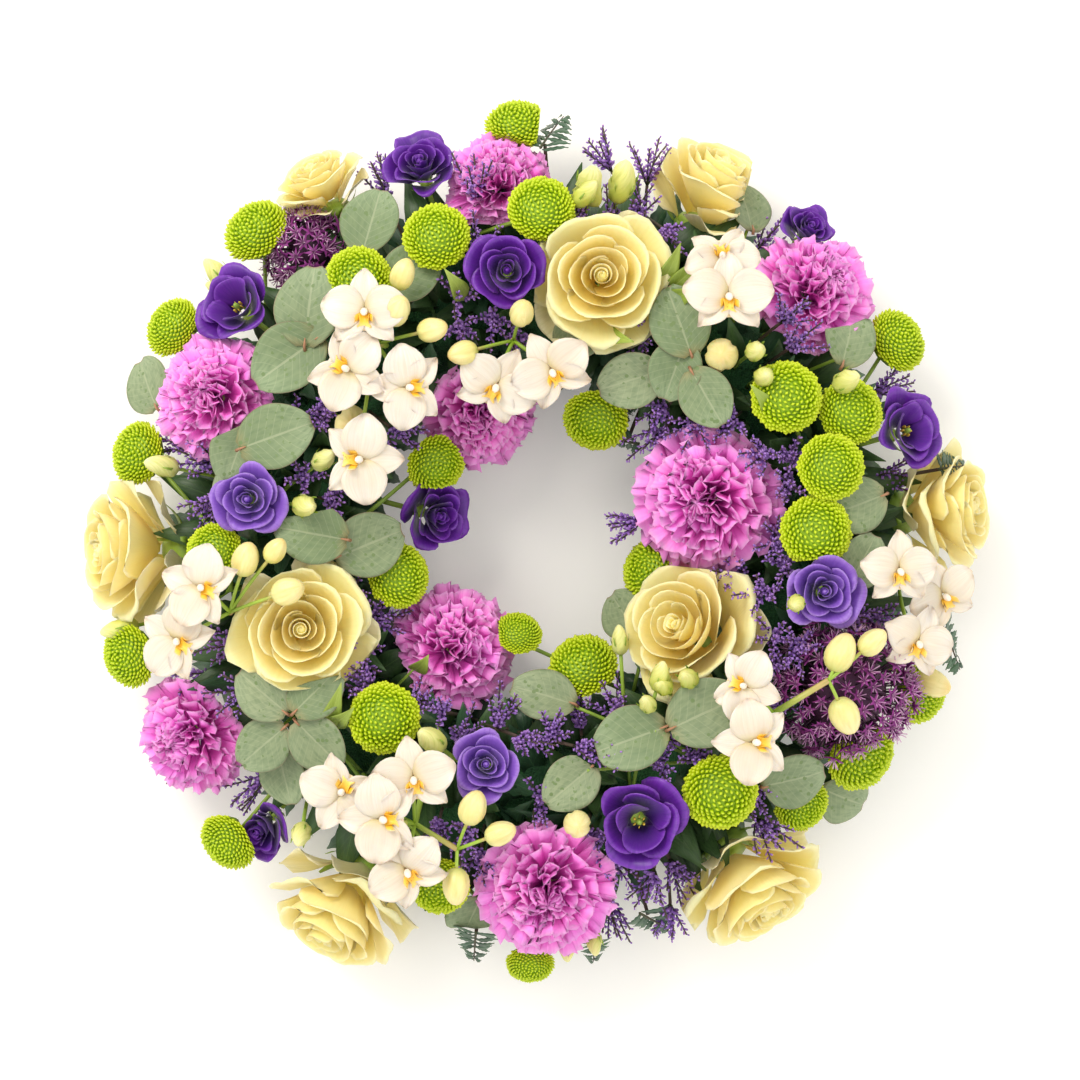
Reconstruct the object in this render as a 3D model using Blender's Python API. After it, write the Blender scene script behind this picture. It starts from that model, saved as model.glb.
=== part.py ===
"""Funeral wreath: fresh flowers and foliage standing in a ring of floral foam.

Metres, +Z up. The origin is under the middle of the ring, on the surface the tray lies on.
Each bloom's stem points at the core circle, the ring's own centre line inside the foam, and
its head stands a face distance away from that circle. Neighbours share the room between them:
a plane lies between every two heads, and each head is drawn in, ray by ray, to stay on its side.
"""

import math

import bmesh
import bpy
from mathutils import Matrix, Vector

MM = 0.001

# Foam ring and tray
RING_RADIUS = 0.126
FOAM_HALF_WIDTH = 0.029
FOAM_BOTTOM = 0.0023
FOAM_SHOULDER = 0.032
FOAM_TOP = 0.048
CROWN_HALF_WIDTH = 0.016
RING_SEGMENTS = 24
TRAY_FLOOR = 0.002
TRAY_WALL = 0.0016
TRAY_RIM = 0.016
TRAY_GAP = 0.0004
CORE_HEIGHT = 0.024

# Seats
MAX_TILT = math.radians(72)
EYE_HEIGHT = 1.29
SEEN_HEIGHT = 0.09
FOOT = 0.013
JUNCTION = 0.033
TUCK = 0.0006
LEAF_DROP = 0.0011
RUN_TAPER = 0.93
STEM_SIDES = 4
BRANCH_SIDES = 3
HOLE_CLEARANCE = 0.00045
PLANE_GAP = 0.00025
NEAR = 0.002
FLOOR_GAP = 0.001

# Distance from the core circle to a bloom's face, mm
FACE = {
    "rose": 82, "carnation": 78, "lisianthus": 81, "santini": 79, "orchid": 92,
    "orchid_bud": 92, "allium": 80, "leaf": 74, "statice": 80, "bud": 87, "fern": 60,
}
# How far the middle of a head lies under its face, how tall its ellipsoid is, and the
# smallest share of its radius it keeps against a neighbour: all times its radius
DEPTH = {
    "rose": 0.72, "carnation": 0.5, "lisianthus": 0.5, "santini": 0.62, "orchid": 0.15,
    "orchid_bud": 1.0, "allium": 0.9, "leaf": 0.05, "statice": 1.0, "bud": 1.0, "fern": 0.05,
}
TALL = {
    "rose": 0.78, "carnation": 0.62, "lisianthus": 0.66, "santini": 0.66, "orchid": 0.3,
    "orchid_bud": 1.0, "allium": 0.88, "leaf": 0.2, "statice": 1.0, "bud": 1.0, "fern": 0.2,
}
KEEP = {
    "rose": 0.5, "carnation": 0.45, "lisianthus": 0.5, "santini": 0.55, "orchid": 0.25,
    "orchid_bud": 0.8, "allium": 0.5, "leaf": 0.2, "statice": 0.6, "bud": 0.8, "fern": 0.15,
}
STEM = {
    "rose": 2.4, "carnation": 1.9, "lisianthus": 1.5, "santini": 1.1, "orchid": 1.0,
    "orchid_bud": 0.9, "allium": 2.2, "leaf": 0.9, "statice": 0.9, "bud": 1.0, "fern": 1.0,
}
MAIN_STEM = {"santini": 1.8, "orchid": 1.8, "leaf": 1.6, "statice": 1.5, "fern": 1.6}
# How far behind and under its middle a head meets its stalk, times its radius
TIE = {
    "rose": (0.0, 0.66), "carnation": (0.0, 0.6), "lisianthus": (0.0, 0.62), "santini": (0.0, 0.36),
    "orchid": (0.0, 0.24), "orchid_bud": (0.0, 0.85), "allium": (0.0, 0.84), "leaf": (0.7, 0.08),
    "statice": (0.0, 0.95), "bud": (0.0, 0.85), "fern": (0.6, 0.06),
}
# Share of its stem's lean that a head keeps: flowers turn up to the light
LEAN = {
    "rose": 0.85, "carnation": 0.45, "lisianthus": 0.5, "santini": 0.55, "orchid": 0.5,
    "orchid_bud": 1.0, "allium": 0.8, "leaf": 0.55, "statice": 1.0, "bud": 1.0, "fern": 0.8,
}
# Heads that look along their own stalk instead of away from the ring
ON_ITS_STALK = ("orchid_bud", "bud", "statice")
COLOUR = {
    "rose": (0.90, 0.76, 0.45), "carnation": (0.80, 0.20, 0.62), "lisianthus": (0.12, 0.03, 0.33),
    "santini": (0.36, 0.52, 0.02), "orchid": (0.93, 0.86, 0.76), "allium": (0.16, 0.02, 0.12),
    "leaf": (0.26, 0.36, 0.24), "statice": (0.20, 0.10, 0.42), "fern": (0.02, 0.07, 0.02),
}

# Single blooms on one stem. Each row: x, y (mm, as an eye over the wreath sees its middle against
# the plane at SEEN_HEIGHT), radius (mm), lift (mm), spin (degrees).
# After the head come the unopened buds on the same stem.
ROSES = {
    "rose_01": [("rose", 29, 124, 33, 2, 10)],
    "rose_02": [("rose", 80, 162, 31, -6, 70)],
    "rose_03": [("rose", -112, -40, 33, 2, 200)],
    "rose_04": [("rose", 73, -43, 34, 2, 300)],
    "rose_05": [("rose", -186, -3, 34, 4, 160)],
    "rose_06": [("rose", -91, -167, 34, 4, 240)],
    "rose_07": [("rose", 97, -156, 34, 2, 310)],
    "rose_08": [("rose", 186, 16, 31, 0, 20)],
    "rose_09": [("rose", -101, 166, 21, -4, 120)],
}
CARNATIONS = {
    "carnation_01": [("carnation", -19, 171, 28, -4, 0)],
    "carnation_02": [("carnation", 130, 119, 33, 2, 30)],
    "carnation_03": [("carnation", -153, 70, 30, 2, 15)],
    "carnation_04": [("carnation", 79, 21, 37, 3, 45)],
    "carnation_05": [("carnation", -28, 61, 28, -6, 0)],
    "carnation_06": [("carnation", -39, -47, 32, 2, 20)],
    "carnation_07": [("carnation", -164, -90, 30, 0, 10)],
    "carnation_08": [("carnation", 4, -163, 34, 2, 0)],
}
LISIANTHUS = {
    "lisianthus_01": [("lisianthus", -55, 176, 20, 0, 0)],
    "lisianthus_02": [("lisianthus", -141, 111, 21, 0, 60),
                      ("bud", -152, 128, 9, 2, 110)],
    "lisianthus_03": [("lisianthus", -15, 128, 20, 0, 30),
                      ("bud", 22, 165, 8, 0, 70)],
    "lisianthus_04": [("lisianthus", -136, 21, 19, 0, 120),
                      ("bud", -110, 18, 9, 2, 20), ("bud", -101, 40, 8, -2, 60)],
    "lisianthus_05": [("lisianthus", -51, 14, 20, 0, 200)],
    "lisianthus_06": [("lisianthus", 172, 53, 20, 0, 0)],
    "lisianthus_07": [("lisianthus", 133, -22, 20, -2, 300),
                      ("bud", 121, -28, 7, 8, 250)],
    "lisianthus_08": [("lisianthus", 47, -130, 23, 2, 330),
                      ("bud", 57, -62, 8, 8, 60), ("bud", 38, -45, 7, 4, 90)],
    "lisianthus_09": [("lisianthus", -25, -104, 18, 2, 80),
                      ("bud", -51, -92, 10, 2, 170)],
    "lisianthus_10": [("lisianthus", -130, -133, 19, -2, 220),
                      ("bud", -112, -137, 8, 4, 250)],
    "lisianthus_11": [("lisianthus", 125, 146, 15, -8, 40)],
}
ALLIUMS = {
    "allium_01": [("allium", -108, 140, 22, -4, 0)],
    "allium_02": [("allium", 144, -69, 35, 9, 0)],
}

# Sprays: several heads on one branching stem. A row "stem" holds a point of the main stem:
# x, y and its distance from the core circle, all in mm; the first stands over the foam.
SANTINI = {
    "santini_spray_01": [("stem", -40, 148, 33), ("santini", -10, 195, 16, 0, 0),
                         ("santini", 1, 157, 16, 4, 20), ("santini", -48, 144, 16, 4, 40)],
    "santini_spray_02": [("stem", -134, 112, 33), ("santini", -132, 146, 17, 0, 0),
                         ("santini", -85, 124, 16, 4, 25), ("santini", -171, 101, 15, -2, 10)],
    "santini_spray_03": [("stem", -150, -22, 36), ("stem", -149, -3, 50), ("santini", -187, 42, 16, 0, 0),
                         ("santini", -152, -4, 14, -2, 15), ("santini", -191, -52, 16, 0, 30)],
    "santini_spray_04": [("stem", -92, -8, 33), ("stem", -84, 14, 52), ("santini", -49, 38, 15, 0, 0),
                         ("santini", -67, -15, 16, 0, 30)],
    "santini_spray_05": [("stem", -104, -90, 36), ("santini", -73, -82, 17, 0, 0),
                         ("santini", -145, -139, 15, 0, 20), ("santini", -47, -160, 15, -4, 10),
                         ("santini", -4, -196, 12, -6, 0)],
    "santini_spray_06": [("stem", 46, -74, 33), ("santini", 21, -58, 17, 0, 0),
                         ("santini", -10, -43, 12, -6, 10), ("santini", 54, -13, 16, 0, 40)],
    "santini_spray_07": [("stem", 40, 78, 33), ("santini", 27, 59, 16, 0, 0)],
    "santini_spray_08": [("stem", 131, 42, 33), ("santini", 116, 69, 17, 2, 0),
                         ("santini", 146, 62, 16, -2, 10), ("santini", 137, 36, 16, 4, 20),
                         ("santini", 130, 6, 17, 0, 30), ("santini", 167, 95, 16, 0, 15)],
    "santini_spray_09": [("stem", 118, -112, 33), ("santini", 85, -116, 18, 0, 0),
                         ("santini", 123, -122, 14, -6, 15), ("santini", 151, -99, 18, 0, 30),
                         ("santini", 178, -69, 16, -6, 45)],
}
ORCHIDS = {
    "orchid_spray_01": [("stem", -74, 96, 34), ("stem", -76, 94, 70), ("orchid", -82, 110, 19, 2, 270),
                        ("orchid", -90, 82, 19, 0, 150), ("orchid", -62, 74, 19, 2, 0),
                        ("orchid", -84, 40, 20, 2, 180), ("orchid_bud", -67, 110, 9, 6, 0),
                        ("orchid_bud", -50, 101, 8, 4, 0), ("orchid_bud", -64, 127, 8, 0, 90)],
    "orchid_spray_02": [("stem", -12, 96, 34), ("stem", -12, 96, 70), ("orchid", -20, 75, 19, 0, 240),
                        ("orchid", 6, 82, 19, 0, 300), ("orchid_bud", -8, 109, 8, 0, 80),
                        ("orchid_bud", -36, 90, 8, 2, 160)],
    "orchid_spray_03": [("stem", 95, 107, 34), ("orchid", 89, 117, 20, 0, 270)],
    "orchid_spray_04": [("stem", -146, -30, 34), ("stem", -145, -32, 72), ("orchid", -159, -20, 19, 2, 340),
                        ("orchid", -170, -45, 19, 0, 330), ("orchid_bud", -138, -7, 9, 0, 100),
                        ("orchid_bud", -124, -3, 7, 0, 60), ("orchid_bud", -118, -22, 9, 6, 0)],
    "orchid_spray_05": [("stem", -52, -100, 34), ("stem", -58, -131, 74), ("stem", -38, -142, 82),
                        ("orchid", -93, -117, 19, 0, 60), ("orchid", -59, -110, 19, 0, 280),
                        ("orchid", -74, -129, 20, 4, 0), ("orchid", -62, -153, 19, 4, 310),
                        ("orchid_bud", -31, -124, 9, 4, 80), ("orchid_bud", -18, -136, 8, 4, 20),
                        ("orchid_bud", -39, -161, 9, 4, 260)],
    "orchid_spray_06": [("stem", 105, -78, 34), ("stem", 110, -79, 74), ("stem", 134, -63, 89),
                        ("orchid", 101, -93, 19, 2, 0), ("orchid", 97, -67, 17, 0, 160),
                        ("orchid_bud", 142, -51, 10, 4, 70), ("orchid_bud", 157, -46, 8, 4, 20),
                        ("orchid_bud", 144, -81, 10, 4, 280)],
    "orchid_spray_07": [("stem", 176, -20, 34), ("orchid", 169, -12, 18, 0, 270),
                        ("orchid", 190, -24, 18, 0, 300), ("orchid", 178, -46, 18, -2, 250)],
}
EUCALYPTUS = {
    "eucalyptus_01": [("stem", -92, 112, 33), ("leaf", -79, 152, 16, -2, 80),
                      ("leaf", -108, 112, 18, 4, 85), ("leaf", -118, 87, 18, 2, 215)],
    "eucalyptus_02": [("stem", -145, 47, 33), ("leaf", -124, 51, 17, 4, 20),
                      ("leaf", -142, 43, 15, -4, 250), ("leaf", -184, 75, 15, -4, 130)],
    "eucalyptus_03": [("stem", -98, 6, 33), ("leaf", -107, 5, 16, 0, 170),
                      ("leaf", -80, 0, 17, 0, 20)],
    "eucalyptus_04": [("stem", -117, -82, 33), ("leaf", -105, -69, 14, 0, 45),
                      ("leaf", -130, -70, 14, 0, 140), ("leaf", -130, -95, 14, 0, 220),
                      ("leaf", -104, -94, 14, -2, 315)],
    "eucalyptus_05": [("stem", 82, 112, 33), ("leaf", 98, 160, 14, -4, 90), ("leaf", 66, 105, 16, 0, 110),
                      ("leaf", 43, 77, 15, 0, 200), ("leaf", 64, 82, 14, 0, 250),
                      ("leaf", 79, 69, 14, 4, 300)],
    "eucalyptus_06": [("stem", 78, -104, 46), ("leaf", 43, -92, 17, 4, 200), ("leaf", 79, -79, 18, 4, 25),
                      ("leaf", 15, -113, 14, -4, 220), ("leaf", 2, -71, 15, -4, 160),
                      ("leaf", 40, -33, 14, -6, 130)],
}
STATICE = {
    "statice_01": [("stem", 52, 161, 33), ("statice", 52, 180, 11, 0, 90),
                   ("statice", 29, 184, 10, -2, 120), ("statice", 62, 146, 10, -4, 0)],
    "statice_02": [("stem", -133, 42, 30), ("statice", -109, 60, 11, -4, 45),
                   ("statice", -157, 18, 10, -4, 200)],
    "statice_03": [("stem", -34, -86, 30), ("statice", -84, -64, 10, -4, 170),
                   ("statice", -48, -78, 10, -2, 120), ("statice", -6, -92, 10, 0, 60),
                   ("statice", 24, -97, 11, 0, 0)],
    "statice_04": [("stem", 62, -134, 33), ("statice", 52, -162, 11, -4, 250),
                   ("statice", 62, -177, 9, -8, 270)],
}
FERNS = {
    "fern_01": [("stem", 6, 170, 26), ("fern", 6, 193, 20, 4, 80)],
    "fern_02": [("stem", 168, -42, 26), ("fern", 193, -48, 20, 0, 330)],
}
KINDS = (
    ("rose", ROSES), ("carnation", CARNATIONS), ("lisianthus", LISIANTHUS), ("allium", ALLIUMS),
    ("santini", SANTINI), ("orchid", ORCHIDS), ("leaf", EUCALYPTUS), ("statice", STATICE),
    ("fern", FERNS),
)


def seat(x, y, reach):
    """Where a point over x, y hangs from: the core circle under it, the axis to it, its reach."""
    spread = math.hypot(x, y)
    around = math.atan2(y, x)
    reach = max(reach, abs(spread - RING_RADIUS) / math.sin(MAX_TILT))
    tilt = math.asin((spread - RING_RADIUS) / reach)
    core = Vector((RING_RADIUS * math.cos(around), RING_RADIUS * math.sin(around), CORE_HEIGHT))
    axis = Vector((math.sin(tilt) * math.cos(around), math.sin(tilt) * math.sin(around), math.cos(tilt)))
    return core, axis, reach


class Head:
    """One bloom, bud or leaf: where its middle is, which way it faces and how big it is."""

    def __init__(self, kind, x, y, radius, lift, spin):
        self.kind = kind
        self.radius = radius * MM
        reach = (FACE[kind] + lift) * MM - DEPTH[kind] * self.radius
        core, axis, distance = seat(x * MM, y * MM, reach)
        away = (EYE_HEIGHT - core.z - axis.z * distance) / (EYE_HEIGHT - SEEN_HEIGHT)
        core, self.way, distance = seat(x * MM * away, y * MM * away, reach)
        self.centre = core + self.way * distance
        self.tall = TALL[kind] * self.radius
        self.keep = KEEP[kind] * self.radius
        self.spin = math.radians(spin)
        self.planes = []
        self.face(Vector((0.0, 0.0, 1.0)).slerp(self.way, LEAN[kind]))

    def face(self, axis):
        """Turn the head to look along an axis, with its lip or leaf tip towards its spin."""
        self.axis = axis
        self.hang = axis
        ahead = Vector((math.cos(self.spin), math.sin(self.spin), 0.0))
        ahead = (ahead - axis * ahead.dot(axis)).normalized()
        self.turn = Matrix((ahead, axis.cross(ahead), axis)).transposed()

    def tie(self):
        """Where the stalk ends under the head: a leaf's is near the base of its blade."""
        behind, under = TIE[self.kind]
        spot = self.centre - (self.turn.col[0] * behind + self.hang * under) * self.radius
        return self.squeeze(spot) - self.axis * (LEAF_DROP * (behind > 0.0))

    def squeeze(self, point):
        """Draw a point of the head in along its ray until the head fits between its planes."""
        offset = point - self.centre
        size = offset.length
        if size < 1e-7:
            return point
        ray = offset / size
        along = ray.dot(self.axis)
        across = math.sqrt(max(0.0, 1.0 - along * along))
        extent = max(size, 1.0 / math.hypot(across / self.radius, along / self.tall))
        room = extent
        for normal, distance in self.planes:
            facing = ray.dot(normal)
            if facing > 1e-6:
                room = min(room, distance / facing)
        return self.centre + offset * (room / extent)


class Stalk:
    """One stem or branch: its points, its radius and the head it ends in."""

    def __init__(self, points, radius, head=None):
        self.points = points
        self.radius = radius
        self.head = head

    def nearest(self, point):
        """The point of the stalk, or of its head's own middle line, nearest to another point."""
        line = self.points + [self.head.centre] if self.head else self.points
        best = None
        for start, end in zip(line, line[1:]):
            run = end - start
            share = min(1.0, max(0.0, (point - start).dot(run) / run.length_squared))
            spot = start + run * share
            if best is None or (spot - point).length < (best - point).length:
                best = spot
        return best


class Stem:
    """One node: its main stem, the heads on it and a stalk for each head."""

    def __init__(self, node, rows):
        self.node = node
        self.heads = [Head(*row) for row in rows if row[0] != "stem"]
        route = []
        for row in rows:
            if row[0] == "stem":
                core, axis, reach = seat(row[1] * MM, row[2] * MM, row[3] * MM)
                route = (route or [core + axis * FOOT]) + [core + axis * reach]
        first = self.heads[0]
        self.main = None
        self.stalks = []
        branching = self.heads
        joints = route[1:]
        if route:
            run_on = (route[-1] - route[-2]).normalized() * TUCK
            self.main = Stalk(route[:-1] + [route[-1] + run_on], MAIN_STEM[first.kind] * MM)
        else:
            core = seat(rows[0][1] * MM, rows[0][2] * MM, FACE[first.kind] * MM)[0]
            first.hang = first.way
            joints = [core + first.way * JUNCTION]
            self.stalks.append(Stalk([core + first.way * FOOT, first.tie()], STEM[first.kind] * MM, first))
            branching = self.heads[1:]
        for head in branching:
            joint = min(joints, key=lambda spot: (spot - head.centre).length)
            if head.kind in ON_ITS_STALK:
                head.face((head.centre - joint).normalized())
            tuck = (joint - head.centre).normalized() * TUCK
            self.stalks.append(Stalk([joint + tuck, head.tie()], STEM[head.kind] * MM, head))

    def all_stalks(self):
        """The main stem, where there is one, and the stalks."""
        return [self.main] * (self.main is not None) + self.stalks


def share_room(stems):
    """Put a plane between each head and every neighbour, stalk and the floor."""
    for stem in stems:
        others = [other for other in stems if other is not stem]
        for head in stem.heads:
            for other in [neighbour for owner in others for neighbour in owner.heads]:
                gap = other.centre - head.centre
                distance = gap.length
                if distance > head.radius + other.radius + NEAR:
                    continue
                even = (distance * distance + head.radius ** 2 - other.radius ** 2) / (2.0 * distance)
                even = min(max(even, head.keep), distance - other.keep)
                head.planes.append((gap / distance, even - PLANE_GAP))
            for stalk in [branch for owner in others for branch in owner.all_stalks()]:
                gap = stalk.nearest(head.centre) - head.centre
                if gap.length < head.radius + stalk.radius + NEAR:
                    head.planes.append((gap.normalized(), gap.length - stalk.radius - PLANE_GAP))
            head.planes.append((Vector((0.0, 0.0, -1.0)), head.centre.z - FLOOR_GAP))


def zigzag(station):
    """+1 and -1 by turns."""
    return 1 - 2 * (station % 2)


def across_petal(station, per_petal):
    """-1 at a petal's inner edge to +1 at its outer edge."""
    return 2.0 * (station % per_petal) / (per_petal - 1) - 1.0


def rose_ring(ring, station):
    """Nested cups of a rose: a tight bud, then wider and lower petals."""
    radius, height, per_petal, shift = (
        (0.11, 0.70, 4, 0), (0.17, 0.42, 4, 0),
        (0.28, 0.72, 4, 2), (0.34, 0.34, 4, 2),
        (0.47, 0.64, 4, 0), (0.50, 0.12, 3, 0),
        (0.66, 0.34, 3, 1), (0.80, 0.52, 3, 1), (0.83, 0.46, 3, 1), (0.62, -0.06, 3, 1),
        (0.84, 0.08, 3, 2), (0.99, 0.16, 3, 2), (0.98, 0.10, 3, 2), (0.70, -0.26, 3, 2),
    )[ring]
    edge = across_petal(station + shift, per_petal)
    rim = ring in (2, 4, 7, 8, 11, 12)
    radius *= 1.0 + (0.07 if rim else 0.03) * edge * (ring < 10)
    height -= 0.10 * edge * edge * rim
    if ring in (11, 12):
        radius *= 1.0 - 0.10 * edge * edge
    return radius, 0.0, height


def carnation_ring(ring, station):
    """Ruffled layers of a carnation with pleats running out to a cut edge."""
    radius, height, pleat = (
        (0.20, 0.50, 0.05), (0.30, 0.26, 0.03), (0.47, 0.47, 0.06), (0.52, 0.10, 0.04),
        (0.74, 0.30, 0.07), (0.74, 0.0, 0.04), (0.96, 0.09, 0.06), (0.95, 0.01, 0.06),
        (0.50, -0.28, 0.0),
    )[ring]
    wave = zigzag(station + ring // 2)
    return radius * (1.0 + 0.06 * wave * (pleat > 0)), 0.0, height + pleat * wave


def lisianthus_ring(ring, station):
    """Loose spiral cup of a lisianthus."""
    radius, height, shift = (
        (0.15, 0.36, 0), (0.22, 0.10, 0), (0.42, 0.50, 0), (0.46, 0.0, 0),
        (0.70, 0.20, 2), (0.92, 0.38, 2), (0.94, 0.30, 2), (0.66, -0.14, 2),
    )[ring]
    edge = across_petal(station + shift, 5)
    rim = ring in (2, 5, 6)
    return radius * (1.0 + 0.05 * edge), 0.0, height + 0.06 * rim * zigzag(station)


def santini_ring(ring, station):
    """Dome of a button chrysanthemum with its florets standing out by turns."""
    radius, height = ((0.36, 0.54), (0.70, 0.34), (0.93, -0.04))[ring]
    bump = 1.0 + 0.06 * zigzag(station + ring)
    return radius * bump, math.pi / 8 * (ring % 2), height * bump


def orchid_ring(ring, station):
    """Moth orchid: two broad petals, three narrow sepals, and the cup that carries them."""
    radius, turn = (
        (0.34, 0), (0.92, 36), (0.34, 62), (0.98, 82), (0.96, 112), (0.34, 134),
        (0.94, 180), (0.34, 226), (0.96, 248), (0.98, 278), (0.34, 298), (0.92, 324),
    )[station]
    height = (0.06 if radius < 0.5 else 0.14) - 0.07 * ring
    return radius, math.radians(turn - 30.0 * station), height


def bud_ring(ring, station):
    """Egg of a closed bud."""
    return (0.50, 0.46)[ring], 0.6 * ring, (0.42, -0.40)[ring]


def leaf_ring(ring, station):
    """Round leaf folded a little along its midrib; both faces share one outline."""
    turn = 2.0 * math.pi * station / 8
    width = 0.78 * abs(math.sin(turn))
    length = 0.96 * math.cos(turn)
    return math.hypot(width, length), math.atan2(math.copysign(width, math.sin(turn)), length) - turn, (
        0.16 * width - 0.06 * ring)


def statice_ring(ring, station):
    """Brush of small florets along a twig."""
    bump = 0.42 + 0.16 * zigzag(station + ring)
    return bump, 0.0, 0.62 - 0.27 * ring


def allium_ring(ring, station):
    """Ball of star florets, their tips standing out by turns."""
    turn = math.pi * (ring + 1) / 8
    bump = 0.86 + 0.11 * zigzag(station + ring)
    return bump * math.sin(turn), 0.0, 0.86 * bump * math.cos(turn)


def fern_ring(ring, station):
    """Frond with its edge cut into leaflets."""
    turn = 2.0 * math.pi * station / 18
    tooth = 0.84 + 0.12 * zigzag(station)
    width = 0.5 * tooth * abs(math.sin(turn))
    length = tooth * math.cos(turn)
    return math.hypot(width, length), math.atan2(math.copysign(width, math.sin(turn)), length) - turn, (
        0.03 - 0.05 * ring)


# Sides left in a flower's innermost ring
INNER_SIDES = {"rose": 6, "carnation": 7, "lisianthus": 5}

# Kind: stations round it, rings from its face to its foot, height of its top, the ring's rule
SHAPES = {
    "rose": (12, 14, 0.60, rose_ring),
    "carnation": (14, 9, 0.36, carnation_ring),
    "lisianthus": (10, 8, 0.30, lisianthus_ring),
    "santini": (8, 3, 0.62, santini_ring),
    "orchid": (12, 2, 0.16, orchid_ring),
    "orchid_bud": (5, 2, 0.92, bud_ring),
    "bud": (5, 2, 0.92, bud_ring),
    "leaf": (8, 2, 0.02, leaf_ring),
    "statice": (4, 5, 0.95, statice_ring),
    "allium": (12, 7, 0.84, allium_ring),
    "fern": (18, 2, 0.05, fern_ring),
}


def split_alike(mesh, last, level):
    """Split each quad down to a last ring so that the two faces of a petal get the same diagonals."""
    for face in [face for face in mesh.faces if len(face.verts) == 4]:
        rings = sorted({level[vert][0] for vert in face.verts})
        if rings[1] > last:
            continue
        columns = {level[vert][1] for vert in face.verts}
        first = min(columns) if max(columns) - min(columns) == 1 else max(columns)
        corner = {(level[vert][0] - rings[0], level[vert][1] != first): vert for vert in face.verts}
        rise = corner[(1, False)].co.z + corner[(1, True)].co.z
        rise -= corner[(0, False)].co.z + corner[(0, True)].co.z
        pair = ((0, False), (1, True)) if rise > 0.0 else ((1, False), (0, True))
        bmesh.utils.face_split(face, corner[pair[0]], corner[pair[1]])


def narrowed(station, stations, sides):
    """Angle and first station of the side that a station falls on where a ring has fewer sides."""
    side = station * sides // stations
    return 2.0 * math.pi * ((side + 0.5) / sides - 0.5 / stations), -(-side * stations // sides)


def bloom_mesh(stalk, sides):
    """A sphere drawn out ring by ring into the bloom and its stalk, fitted between its neighbours."""
    head = stalk.head
    stations, rings, top, rule = SHAPES[head.kind]
    mesh = bmesh.new()
    bmesh.ops.create_uvsphere(mesh, u_segments=stations, v_segments=rings + 3, radius=1.0)
    level = {}
    for vert in mesh.verts:
        depth = round(math.acos(max(-1.0, min(1.0, vert.co.z))) * (rings + 3) / math.pi)
        turn = math.atan2(vert.co.y, vert.co.x) - 0.5 * math.pi
        level[vert] = (depth, round(turn * stations / (2.0 * math.pi)) % stations)
    place = {}
    end = head.tie()
    along = (end - stalk.points[0]).normalized()
    bend = head.axis.rotation_difference(along)
    mitre = (head.axis + along).normalized()
    for vert, (depth, station) in level.items():
        if depth == 0:
            vert.co = Vector((0.0, 0.0, top))
        elif depth <= rings:
            turn = 2.0 * math.pi * station / stations
            if depth == 1 and head.kind in INNER_SIDES:
                turn, station = narrowed(station, stations, INNER_SIDES[head.kind])
            radius, twist, height = rule(depth - 1, station)
            turn += twist
            vert.co = Vector((radius * math.cos(turn), radius * math.sin(turn), height))
        else:
            turn = narrowed(station, stations, sides)[0]
            outward = head.turn @ Vector((math.cos(turn), math.sin(turn), 0.0))
            if depth == rings + 1:
                outward -= head.axis * (outward.dot(mitre) / head.axis.dot(mitre))
                place[vert] = end + outward * stalk.radius
            else:
                outward.rotate(bend)
                place[vert] = stalk.points[0] + outward * (stalk.radius * (depth < rings + 3))
            vert.co = Vector()
    split_alike(mesh, rings, level)
    for vert in mesh.verts:
        if vert in place:
            vert.co = place[vert]
        else:
            vert.co = head.squeeze(head.centre + head.turn @ (vert.co * head.radius))
    bmesh.ops.remove_doubles(mesh, verts=mesh.verts, dist=1e-7)
    bmesh.ops.triangulate(mesh, faces=mesh.faces, quad_method="SHORT_EDGE")
    return mesh


def add_object(mesh, name, collection):
    """Object with a finished bmesh as its data."""
    data = bpy.data.meshes.new(name)
    mesh.to_mesh(data)
    mesh.free()
    thing = bpy.data.objects.new(name, data)
    collection.objects.link(thing)
    return thing


def rod(name, start, end, radius, turn, collection):
    """Straight prism from one point to another, turned to a frame."""
    mesh = bmesh.new()
    bmesh.ops.create_cone(mesh, cap_ends=True, segments=STEM_SIDES, radius1=radius, radius2=radius,
                          depth=(end - start).length)
    place = Matrix.Translation((start + end) / 2.0) @ turn.to_4x4()
    bmesh.ops.transform(mesh, matrix=place, verts=mesh.verts)
    return add_object(mesh, name, collection)


def combine(base, tools, operation):
    """Join the tools to the base, or cut them out of it, and drop the tools."""
    cutters = bpy.data.collections.new(base.name + "_tools")
    bpy.context.scene.collection.children.link(cutters)
    for tool in tools:
        cutters.objects.link(tool)
    step = base.modifiers.new("Boolean", "BOOLEAN")
    step.operation = operation
    step.operand_type = "COLLECTION"
    step.collection = cutters
    step.solver = "EXACT"
    evaluated = base.evaluated_get(bpy.context.evaluated_depsgraph_get())
    data = bpy.data.meshes.new_from_object(evaluated)
    base.modifiers.clear()
    base.data = data
    for tool in list(cutters.objects):
        bpy.data.objects.remove(tool)
    bpy.data.collections.remove(cutters)


def finish_of(name, colour, roughness):
    """Plain material in the colour of the real part."""
    material = bpy.data.materials.new(name)
    material.use_nodes = True
    shader = material.node_tree.nodes["Principled BSDF"]
    shader.inputs["Base Color"].default_value = (*colour, 1.0)
    shader.inputs["Roughness"].default_value = roughness
    shader.inputs["Metallic"].default_value = 0.0
    return material


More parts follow.
